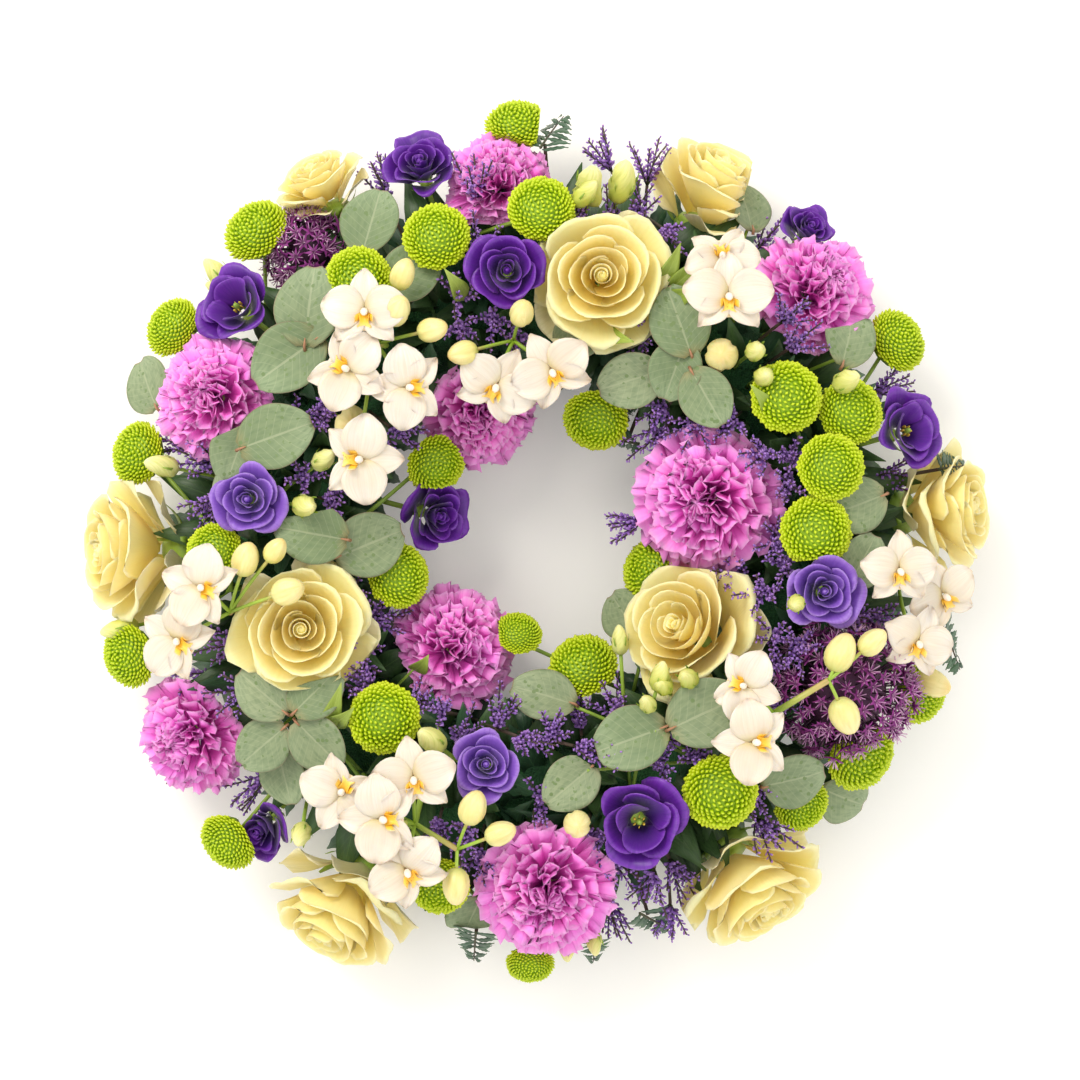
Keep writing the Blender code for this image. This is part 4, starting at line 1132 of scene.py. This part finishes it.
def grained_finish(name, stops, streak, tinted, roughness=0.55, streaks=(16.0, 1.5), amount=0.5,
                   vary=0.5, bump=0.25, glow=0.0, sheen=0.0, veins=0.0, margin=None):
    """Petal or leaf: colour from foot to rim, streaks along it, and its own shade.

    streaks are how many run across and along a petal, veins how strongly side veins show and
    margin the colour of the very edge.
    """
    material, shader = new_finish(name, roughness, Sheen_Weight=sheen, Sheen_Roughness=0.4,
                                  Subsurface_Weight=glow, Subsurface_Scale=0.004)
    shader.inputs["Subsurface Radius"].default_value = (1.0, 0.62, 0.34)
    grain = add_node(material, "ShaderNodeAttribute", {"attribute_name": "grain"}).outputs["Vector"]
    axes = add_node(material, "ShaderNodeSeparateXYZ", links={"Vector": grain})
    across, along, own = (axes.outputs[name] for name in ("X", "Y", "Z"))
    stretched = add_node(material, "ShaderNodeVectorMath", {"operation": "MULTIPLY"},
                         {0: grain, 1: (streaks[0], streaks[1], 53.0)}).outputs[0]
    lines = add_node(material, "ShaderNodeTexNoise", links={
        "Vector": stretched, "Scale": 1.0, "Detail": 1.5, "Roughness": 0.6}).outputs["Fac"]
    # Blotches of about 8 mm over the whole wreath keep repeats apart
    place = add_node(material, "ShaderNodeTexCoord").outputs["Object"]
    blotch = add_node(material, "ShaderNodeTexNoise", links={
        "Vector": place, "Scale": 125.0, "Detail": 0.0}).outputs["Fac"]
    colour = ramp(material, along, stops)
    shade = reckon(material, "MULTIPLY", own, vary)
    colour = blend_colour(material, shade, colour, linear(tinted))
    share = reckon(material, "MULTIPLY_ADD", lines, 2.6, -1.05, clamp=True)
    share = reckon(material, "MULTIPLY", share, amount)
    colour = blend_colour(material, share, colour, linear(streak))
    share = reckon(material, "MULTIPLY_ADD", blotch, 1.6, -0.75, clamp=True)
    colour = blend_colour(material, reckon(material, "MULTIPLY", share, 0.35), colour, linear(streak))
    height = lines
    if veins:
        edge = reckon(material, "ABSOLUTE", across)
        slant = reckon(material, "MULTIPLY_ADD", along, 9.0, reckon(material, "MULTIPLY", edge, -2.2))
        ripple = reckon(material, "PINGPONG", slant, 0.5)
        vein = reckon(material, "LESS_THAN", ripple, 0.045)
        midrib = reckon(material, "LESS_THAN", edge, 0.035)
        pattern = reckon(material, "MAXIMUM", reckon(material, "MULTIPLY", vein, 0.6), midrib)
        share = reckon(material, "MULTIPLY", pattern, veins)
        colour = blend_colour(material, share, colour, linear(tinted))
        height = reckon(material, "ADD", lines, reckon(material, "MULTIPLY", pattern, -0.8))
    if margin:
        edge = reckon(material, "GREATER_THAN", reckon(material, "ABSOLUTE", across), 0.985)
        rim = reckon(material, "MAXIMUM", edge, reckon(material, "GREATER_THAN", along, 0.985))
        colour = blend_colour(material, reckon(material, "MULTIPLY", rim, 0.6), colour, linear(margin))
    relief = add_node(material, "ShaderNodeBump", links={
        "Height": height, "Strength": bump, "Distance": 0.0006}).outputs["Normal"]
    material.node_tree.links.new(colour, shader.inputs["Base Color"])
    material.node_tree.links.new(relief, shader.inputs["Normal"])
    return material


def petal_finishes():
    """Petals: thin living tissue, finely streaked; light glows through the palest of them."""
    # Cream rose: golden in the depth of the bloom, pale at the rim
    grained_finish("cream_rose_petal",
                   ((0.0, "FFCA44"), (0.28, "FFDC64"), (0.58, "FFEA84"), (0.86, "FFF2A4"), (1.0, "FFF4B6")),
                   streak="FFE690", tinted="FFF2AC", roughness=0.5, streaks=(22.0, 1.6), amount=0.35,
                   bump=0.2, glow=0.4)
    # Outer rose petals keep some green from the bud
    grained_finish("rose_guard_petal", ((0.0, "C8C864"), (0.6, "F0E49C"), (1.0, "FBF0C0")),
                   streak="DCD484", tinted="FCF2CC", roughness=0.55, streaks=(18.0, 1.6), amount=0.5,
                   bump=0.2, glow=0.2)
    # Orchid-pink carnation: magenta in the folds, paler at the cut edge
    grained_finish("pink_carnation_petal",
                   ((0.0, "BC38B0"), (0.35, "E65AD0"), (0.68, "FA78DE"), (0.93, "FF9AE8"), (1.0, "FFBCF2")),
                   streak="EE6CD8", tinted="F092F0", roughness=0.6, streaks=(26.0, 1.2), amount=0.5,
                   vary=0.35, bump=0.3)
    # Violet lisianthus: silky. Its foot is nearly black, partly its own deep throat and partly painted
    # shade in the depth of the bloom; its paler rim is a painted highlight
    grained_finish("violet_lisianthus_petal",
                   ((0.0, "16052E"), (0.4, "360F6A"), (0.8, "5E1C98"), (0.96, "7630B0"), (1.0, "8A4CC2")),
                   streak="3E1278", tinted="6A1E9C", roughness=0.42, streaks=(20.0, 1.4), amount=0.55,
                   bump=0.25, sheen=0.25)
    # Pale lisianthus: the same dark foot, partly its own colour and partly painted shade, and the same
    # painted highlight at the rim
    grained_finish("lisianthus_pale_petal",
                   ((0.0, "2E1260"), (0.4, "6034A2"), (0.8, "8A5CC6"), (0.97, "A47CD6"), (1.0, "BCA4E4")),
                   streak="7044B0", tinted="8458BE", roughness=0.42, streaks=(20.0, 1.4), amount=0.5,
                   bump=0.25, sheen=0.25)
    grained_finish("lisianthus_bud",
                   ((0.0, "8FA02C"), (0.4, "C6CC4C"), (0.8, "E2E288"), (1.0, "EDE8A8")),
                   streak="B4C040", tinted="F0ECB0", roughness=0.45, streaks=(14.0, 3.0), amount=0.5,
                   bump=0.2, glow=0.2)
    # Lime button chrysanthemum: waxy tubes, yellower at their mouths
    grained_finish("lime_santini_floret",
                   ((0.0, "648A04"), (0.40, "98BC08"), (0.75, "BCD410"), (1.0, "DCE830")),
                   streak="A4C80C", tinted="D8DC1C", roughness=0.45, streaks=(6.0, 2.0), amount=0.4,
                   vary=0.35, bump=0.1)
    grained_finish("santini_heart", ((0.0, "6A9008"), (1.0, "98BA10")),
                   streak="7A9E0A", tinted="90B40C")
    # Moth orchid: thick waxy tepals, yellow lip with rusty freckles
    tepal = grained_finish("orchid_tepal",
                           ((0.0, "E2C988"), (0.22, "E6D4BC"), (0.8, "EEE1D0"), (1.0, "E8CFB8")),
                           streak="DDC3AA", tinted="F0E6D8", roughness=0.38, streaks=(14.0, 1.2),
                           amount=0.45, bump=0.15, glow=0.3)
    freckles(tepal, "8A5A30", 0.045, 700.0)
    lip = grained_finish("orchid_lip",
                         ((0.0, "F2B818"), (0.45, "FFCC34"), (0.75, "FFE490"), (1.0, "FFFAF0")),
                         streak="F0A830", tinted="FFE070", roughness=0.35, streaks=(10.0, 3.0),
                         bump=0.15)
    freckles(lip, "C0401C", 0.20, 900.0)
    grained_finish("orchid_column", ((0.0, "ECD49C"), (0.6, "F2E6D4"), (1.0, "F4EADC")),
                   streak="E8D4C0", tinted="F6EEE2", roughness=0.3, bump=0.05, glow=0.3)
    grained_finish("orchid_bud_skin",
                   ((0.0, "B8C458"), (0.35, "EEE08C"), (0.8, "F2E4A4"), (1.0, "E8CC84")),
                   streak="CFC468", tinted="F8EEB8", roughness=0.38, streaks=(10.0, 2.0), bump=0.2,
                   glow=0.25)
    # Allium star: matt wine purple with pale stamens past the petals
    grained_finish("wine_allium_floret",
                   ((0.0, "3A0E38"), (0.35, "802478"), (0.95, "A8449E"), (1.0, "E0B4D8")),
                   streak="681C60", tinted="983490", roughness=0.5, streaks=(5.0, 3.0), bump=0.1)
    grained_finish("allium_heart", ((0.0, "24081F"), (1.0, "4C1644")),
                   streak="36102E", tinted="40203C")
    # Statice bracts are dry and papery, some of them faded to pink
    grained_finish("statice_bract",
                   ((0.0, "4A2878"), (0.5, "8052B8"), (0.9, "A882D8"), (1.0, "D8BCE8")),
                   streak="68409E", tinted="C08ED0", roughness=0.75, streaks=(4.0, 2.0), bump=0.1)
    grained_finish("yellow_anther", ((0.0, "C08A10"), (1.0, "F8D848")),
                   streak="D8A820", tinted="FFE868", roughness=0.7, bump=0.3)


def freckles(material, code, size, scale):
    """Small spots over what a material already paints."""
    tree = material.node_tree
    shader = tree.nodes["Principled BSDF"]
    under = shader.inputs["Base Color"].links[0].from_socket
    place = add_node(material, "ShaderNodeTexCoord").outputs["Object"]
    cells = add_node(material, "ShaderNodeTexVoronoi", links={"Vector": place, "Scale": scale})
    spot = reckon(material, "LESS_THAN", cells.outputs["Distance"], size)
    # Only some patches of about 6 mm have spots
    patch = add_node(material, "ShaderNodeTexNoise", links={
        "Vector": place, "Scale": 160.0}).outputs["Fac"]
    spot = reckon(material, "MULTIPLY", spot, reckon(material, "GREATER_THAN", patch, 0.52))
    tree.links.new(blend_colour(material, spot, under, linear(code)), shader.inputs["Base Color"])


def leaf_finishes():
    """Leaves and stems: a waxy skin over green tissue."""
    # Eucalyptus has a pale grey bloom of wax and faint radiating veins
    leaf = grained_finish("waxy_eucalyptus_leaf",
                          ((0.0, "8C8658"), (0.15, "72845C"), (0.6, "7C8E66"), (1.0, "8EA07A")),
                          streak="5C7450", tinted="A6AE8C", roughness=0.6, streaks=(9.0, 7.0),
                          amount=0.62, vary=0.45, bump=0.2, veins=0.5, margin="9A7A68")
    freckles(leaf, "6C8252", 0.30, 300.0)
    grained_finish("red_node", ((0.0, "8A6A4C"), (1.0, "B48864")), streak="A0583C", tinted="C09070",
                   roughness=0.5, streaks=(4.0, 6.0), bump=0.2)
    grained_finish("dark_leaf", ((0.0, "20341C"), (0.5, "34522C"), (1.0, "476A38")), streak="1E3420",
                   tinted="54743E", roughness=0.42, streaks=(6.0, 3.0), vary=0.4, bump=0.3,
                   veins=0.45)
    grained_finish("fern_leaf", ((0.0, "1C3626"), (0.5, "2E5238"), (1.0, "426A48")), streak="1A3220",
                   tinted="4C7650", roughness=0.4, streaks=(6.0, 4.0), vary=0.45, bump=0.35,
                   veins=0.5)
    grained_finish("light_leaf", ((0.0, "6E8428"), (0.5, "8AA03A"), (1.0, "A0B44C")), streak="748C2C",
                   tinted="AEBE62", roughness=0.42, streaks=(6.0, 3.0), vary=0.4, bump=0.3,
                   veins=0.5)
    grained_finish("green_stem", ((0.0, "6A8C2C"), (1.0, "9CBC40")), streak="5A7C28", tinted="A8C454",
                   roughness=0.45, streaks=(4.0, 8.0), bump=0.2)
    grained_finish("lime_stem", ((0.0, "8CB02C"), (0.7, "A8C84C"), (1.0, "DC9C80")), streak="80A428",
                   tinted="B4CC58", roughness=0.4, streaks=(4.0, 8.0), bump=0.15)
    grained_finish("dark_twig", ((0.0, "3C4A2C"), (1.0, "56403C")), streak="2E3424", tinted="60503C",
                   roughness=0.7, streaks=(4.0, 8.0), bump=0.3)


def carrier_finishes():
    """Finishes of the tray and the foam, which the stems stand in."""
    # Wet phenolic foam: matt, crumbly, with open cells of about 0.4 mm drawn at 1 mm
    foam, shader = new_finish("phenolic_foam", 0.95)
    place = add_node(foam, "ShaderNodeTexCoord").outputs["Object"]
    cells = add_node(foam, "ShaderNodeTexVoronoi", links={
        "Vector": place, "Scale": 1000.0}).outputs["Distance"]
    patches = add_node(foam, "ShaderNodeTexNoise", links={
        "Vector": place, "Scale": 60.0}).outputs["Fac"]
    colour = ramp(foam, patches, ((0.35, "24502E"), (0.65, "38703F")))
    colour = blend_colour(foam, reckon(foam, "MULTIPLY", cells, 0.5), colour, linear("123420"))
    relief = add_node(foam, "ShaderNodeBump", links={
        "Height": cells, "Strength": 0.8, "Distance": 0.0008}).outputs["Normal"]
    foam.node_tree.links.new(colour, shader.inputs["Base Color"])
    foam.node_tree.links.new(relief, shader.inputs["Normal"])
    # Moulded polystyrene: smooth and satin, with the faint orange peel of a cheap mould
    tray, shader = new_finish("moulded_polystyrene", 0.38, IOR=1.59)
    place = add_node(tray, "ShaderNodeTexCoord").outputs["Object"]
    peel = add_node(tray, "ShaderNodeTexNoise", links={
        "Vector": place, "Scale": 900.0, "Detail": 2.0}).outputs["Fac"]
    wear = add_node(tray, "ShaderNodeTexNoise", links={
        "Vector": place, "Scale": 45.0, "Detail": 4.0}).outputs["Fac"]
    relief = add_node(tray, "ShaderNodeBump", links={
        "Height": peel, "Strength": 0.15, "Distance": 0.0003}).outputs["Normal"]
    colour = ramp(tray, wear, ((0.3, "12301A"), (0.7, "1E4428")))
    tray.node_tree.links.new(colour, shader.inputs["Base Color"])
    tray.node_tree.links.new(reckon(tray, "MULTIPLY_ADD", wear, 0.25, 0.28), shader.inputs["Roughness"])
    tray.node_tree.links.new(relief, shader.inputs["Normal"])


# Kind: how its head is made, its stem's finish, the record's slot
MAKERS = {
    "rose": (rose, "green_stem", "rose_petal"),
    "carnation": (carnation, "green_stem", "carnation_petal"),
    "lisianthus": (lisianthus, "green_stem", "lisianthus_petal"),
    "bud": (bud, "green_stem", "lisianthus_petal"),
    "allium": (allium, "green_stem", "allium_floret"),
    "santini": (santini, "green_stem", "santini_floret"),
    "orchid": (orchid, "lime_stem", "orchid_petal"),
    "orchid_bud": (orchid_bud, "lime_stem", "orchid_petal"),
    "leaf": (eucalyptus, "green_stem", "eucalyptus_leaf"),
    "statice": (statice, "dark_twig", "statice_floret"),
    "fern": (fern, "dark_twig", "fern_frond"),
}


# Seed of the statice in the gaps
GAP_SEED = 7


@functools.cache
def seated_stems(overlap):
    """Every stem of the wreath with the room its heads have, and those between them."""
    stems = {node: Stem(node, rows) for kind, nodes in KINDS for node, rows in nodes.items()}
    between = {name: [Stem(name, [row]) for row in rows] for name, rows in FILL.items()}
    share_room(stems.values(), stems.values(), overlap)
    heads = [head for stem in stems.values() for head in stem.heads]
    heads += [head for group in between.values() for stem in group for head in stem.heads]
    sprigs = gap_rows(heads, random.Random(GAP_SEED))
    between["statice_in_gaps"] = [Stem("statice_in_gaps", [row]) for row in sprigs]
    extra = [stem for group in between.values() for stem in group]
    share_room(extra, list(stems.values()) + extra, overlap)
    return stems, between


def dress(piece, stem, draw):
    """Add a stem's runs and heads to a piece."""
    for points, radius, head in stem.runs:
        finish = MAKERS[(head or stem.heads[0]).kind][1]
        if head is None:
            piece.rod(points, [radius * 0.93 ** index for index in range(len(points))], finish, 8)
        else:
            line = bent_stem(points[0], points[-1], 0.02 * (points[-1] - points[0]).length)
            piece.rod(line, [radius] * len(line), finish, 6, draw.random())
    for head in stem.heads:
        MAKERS[head.kind][0](piece, head, draw)


def make_kind(context, nodes):
    """Make one object for each node of a kind."""
    stems = seated_stems(context.scene.wreath_sizes.overlap)[0]
    for node in nodes:
        stem = stems[node]
        piece = Piece(node + "_fresh")
        dress(piece, stem, random.Random(node))
        piece.finish((node,), MAKERS[stem.heads[0].kind][2])


class WreathSizes(bpy.types.PropertyGroup):
    """Sizes that a user may change."""

    overlap: bpy.props.FloatProperty(
        name="Overlap", description="How far neighbouring blooms press into each other",
        default=0.0012, min=0.0, max=0.004, unit="LENGTH")
    camera_height: bpy.props.FloatProperty(
        name="Camera height", description="Height of the camera over the surface the wreath lies on",
        default=1.29, min=0.5, max=3.0, unit="LENGTH")
    lens: bpy.props.FloatProperty(
        name="Lens", description="Focal length of the camera, which sets how much of the floor it sees",
        default=85.0, min=20.0, max=200.0, unit="CAMERA")
    floor_width: bpy.props.FloatProperty(
        name="Floor width", description="Width of the plain floor", default=16.0, min=1.0, max=40.0,
        unit="LENGTH")


class WreathColours(bpy.types.PropertyGroup):
    """Colours that a user may change."""

    floor: bpy.props.FloatVectorProperty(
        name="Floor", description="Colour of the plain floor", subtype="COLOR", size=4,
        default=linear("F4F3F0"), min=0.0, max=1.0)
    sky: bpy.props.FloatVectorProperty(
        name="Studio light", description="Colour of the soft light from all round", subtype="COLOR",
        size=4, default=linear("FFFDFA"), min=0.0, max=1.0)


class WREATH_OT_finishes(bpy.types.Operator):
    """Make the materials of petals, leaves, stems, foam and tray"""

    bl_idname = "wreath.finishes"
    bl_label = "Materials"

    def execute(self, context):
        petal_finishes()
        leaf_finishes()
        carrier_finishes()
        return {"FINISHED"}


class WREATH_OT_carriers(bpy.types.Operator):
    """Give the tray and the foam ring their finishes"""

    bl_idname = "wreath.carriers"
    bl_label = "Tray and foam"

    def execute(self, context):
        for node, finish in (("tray", "moulded_polystyrene"), ("foam_ring", "phenolic_foam")):
            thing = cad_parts[node]
            for slot in thing.material_slots:
                slot.material = bpy.data.materials[finish]
        return {"FINISHED"}


class WREATH_OT_roses(bpy.types.Operator):
    """Make the cream roses"""

    bl_idname = "wreath.roses"
    bl_label = "Roses"

    def execute(self, context):
        make_kind(context, ROSES)
        return {"FINISHED"}


class WREATH_OT_carnations(bpy.types.Operator):
    """Make the pink carnations"""

    bl_idname = "wreath.carnations"
    bl_label = "Carnations"

    def execute(self, context):
        make_kind(context, CARNATIONS)
        return {"FINISHED"}


class WREATH_OT_lisianthus(bpy.types.Operator):
    """Make the violet lisianthus with their buds"""

    bl_idname = "wreath.lisianthus"
    bl_label = "Lisianthus"

    def execute(self, context):
        make_kind(context, LISIANTHUS)
        return {"FINISHED"}


class WREATH_OT_alliums(bpy.types.Operator):
    """Make the purple allium balls"""

    bl_idname = "wreath.alliums"
    bl_label = "Alliums"

    def execute(self, context):
        make_kind(context, ALLIUMS)
        return {"FINISHED"}


class WREATH_OT_santini(bpy.types.Operator):
    """Make the sprays of lime button chrysanthemums"""

    bl_idname = "wreath.santini"
    bl_label = "Button chrysanthemums"

    def execute(self, context):
        make_kind(context, SANTINI)
        return {"FINISHED"}


class WREATH_OT_orchids(bpy.types.Operator):
    """Make the sprays of moth orchids with their buds"""

    bl_idname = "wreath.orchids"
    bl_label = "Orchids"

    def execute(self, context):
        make_kind(context, ORCHIDS)
        return {"FINISHED"}


class WREATH_OT_eucalyptus(bpy.types.Operator):
    """Make the eucalyptus twigs"""

    bl_idname = "wreath.eucalyptus"
    bl_label = "Eucalyptus"

    def execute(self, context):
        make_kind(context, EUCALYPTUS)
        return {"FINISHED"}


class WREATH_OT_statice(bpy.types.Operator):
    """Make the twigs of violet statice"""

    bl_idname = "wreath.statice"
    bl_label = "Statice"

    def execute(self, context):
        make_kind(context, STATICE)
        return {"FINISHED"}


class WREATH_OT_ferns(bpy.types.Operator):
    """Make the fern fronds at the rim"""

    bl_idname = "wreath.ferns"
    bl_label = "Ferns"

    def execute(self, context):
        make_kind(context, FERNS)
        return {"FINISHED"}


FOLIAGE = (("foam_leaves", clothing), ("gap_leaves", gap_leaves), ("light_leaves", light_leaves))
# Soft lamps: name, place and width in metres, watts
LAMPS = (("window", (-0.8, 1.0, 1.5), 0.8, 20.0), ("fill", (1.3, -0.6, 1.2), 1.2, 4.0))
# Point of the wreath under the middle of the photo's frame
MIDDLE = Vector((0.0005, 0.0019, 0.06))


class WREATH_OT_foliage(bpy.types.Operator):
    """Make the leaves that clothe the foam and fill the gaps between the stems"""

    bl_idname = "wreath.foliage"
    bl_label = "Foliage on the foam"

    def execute(self, context):
        for name, make in FOLIAGE:
            piece = Piece(name)
            make(piece, random.Random(name))
            piece.finish()
        return {"FINISHED"}


class WREATH_OT_between(bpy.types.Operator):
    """Make the small blooms, buds and leaves between the named stems"""

    bl_idname = "wreath.between"
    bl_label = "Between the blooms"

    def execute(self, context):
        for name, stems in seated_stems(context.scene.wreath_sizes.overlap)[1].items():
            piece = Piece(name)
            draw = random.Random(name)
            for stem in stems:
                dress(piece, stem, draw)
            piece.finish(slot=MAKERS[stems[0].heads[0].kind][2])
        return {"FINISHED"}


class WREATH_OT_stage(bpy.types.Operator):
    """Make the plain floor, the soft light and the camera over the wreath"""

    bl_idname = "wreath.stage"
    bl_label = "Stage"

    def execute(self, context):
        scene = context.scene
        sizes = scene.wreath_sizes
        colours = scene.wreath_colours
        paper, shader = new_finish("matt_paper", 0.9)
        place = add_node(paper, "ShaderNodeTexCoord").outputs["Object"]
        fibre = add_node(paper, "ShaderNodeTexNoise", links={
            "Vector": place, "Scale": 400.0}).outputs["Fac"]
        shader.inputs["Base Color"].default_value = colours.floor
        # Lit a little from behind, as a light table is, so the shadows stay soft
        shader.inputs["Emission Color"].default_value = colours.floor
        shader.inputs["Emission Strength"].default_value = 0.18
        relief = add_node(paper, "ShaderNodeBump", links={
            "Height": fibre, "Strength": 0.05, "Distance": 0.0005}).outputs["Normal"]
        paper.node_tree.links.new(relief, shader.inputs["Normal"])
        mesh = bmesh.new()
        bmesh.ops.create_grid(mesh, x_segments=2, y_segments=2, size=sizes.floor_width / 2.0)
        data = bpy.data.meshes.new("floor")
        mesh.to_mesh(data)
        mesh.free()
        data.materials.append(paper)
        floor = bpy.data.objects.new("floor", data)
        scene.collection.objects.link(floor)

        world = bpy.data.worlds.new("studio")
        world.use_nodes = True
        sky = world.node_tree.nodes["Background"]
        sky.inputs["Color"].default_value = colours.sky
        sky.inputs["Strength"].default_value = 1.06
        scene.world = world
        scene.view_settings.view_transform = "Standard"

        for name, spot, size, power in LAMPS:
            lamp = bpy.data.lights.new(name, "AREA")
            lamp.size = size
            lamp.energy = power
            lamp.color = linear("FFF8EE")[:3]
            thing = bpy.data.objects.new(name, lamp)
            thing.location = spot
            thing.rotation_euler = (Vector(spot) - MIDDLE).to_track_quat("Z", "Y").to_euler()
            scene.collection.objects.link(thing)

        eye = bpy.data.cameras.new("camera")
        eye.lens = sizes.lens
        eye.sensor_width = 36.0
        eye.clip_start = 0.05
        eye.clip_end = 50.0
        camera = bpy.data.objects.new("camera", eye)
        camera.location = (MIDDLE.x, MIDDLE.y, sizes.camera_height)
        scene.collection.objects.link(camera)
        scene.camera = camera
        return {"FINISHED"}


class WREATH_PT_sidebar(bpy.types.Panel):
    """The wreath's sizes, colours and pieces"""

    bl_idname = "WREATH_PT_sidebar"
    bl_label = "Funeral Wreath"
    bl_space_type = "VIEW_3D"
    bl_region_type = "UI"
    bl_category = "Wreath"

    def draw(self, context):
        layout = self.layout
        for group in (context.scene.wreath_sizes, context.scene.wreath_colours):
            for name in group.__annotations__:
                layout.prop(group, name)
        for operator in OPERATORS:
            layout.operator(operator.bl_idname)


OPERATORS = (
    WREATH_OT_finishes, WREATH_OT_carriers, WREATH_OT_roses, WREATH_OT_carnations,
    WREATH_OT_lisianthus, WREATH_OT_alliums, WREATH_OT_santini, WREATH_OT_orchids,
    WREATH_OT_eucalyptus, WREATH_OT_statice, WREATH_OT_ferns, WREATH_OT_foliage,
    WREATH_OT_between, WREATH_OT_stage,
)
CLASSES = (WreathSizes, WreathColours, *OPERATORS, WREATH_PT_sidebar)


def register():
    """Add the classes and the scene's settings."""
    for thing in CLASSES:
        bpy.utils.register_class(thing)
    bpy.types.Scene.wreath_sizes = bpy.props.PointerProperty(type=WreathSizes)
    bpy.types.Scene.wreath_colours = bpy.props.PointerProperty(type=WreathColours)


def unregister():
    """Take the settings and the classes away again."""
    del bpy.types.Scene.wreath_colours
    del bpy.types.Scene.wreath_sizes
    for thing in reversed(CLASSES):
        bpy.utils.unregister_class(thing)


def main():
    """Make every piece in order."""
    register()
    for operator in OPERATORS:
        group, name = operator.bl_idname.split(".")
        getattr(getattr(bpy.ops, group), name)()


if __name__ == "__main__":
    main()
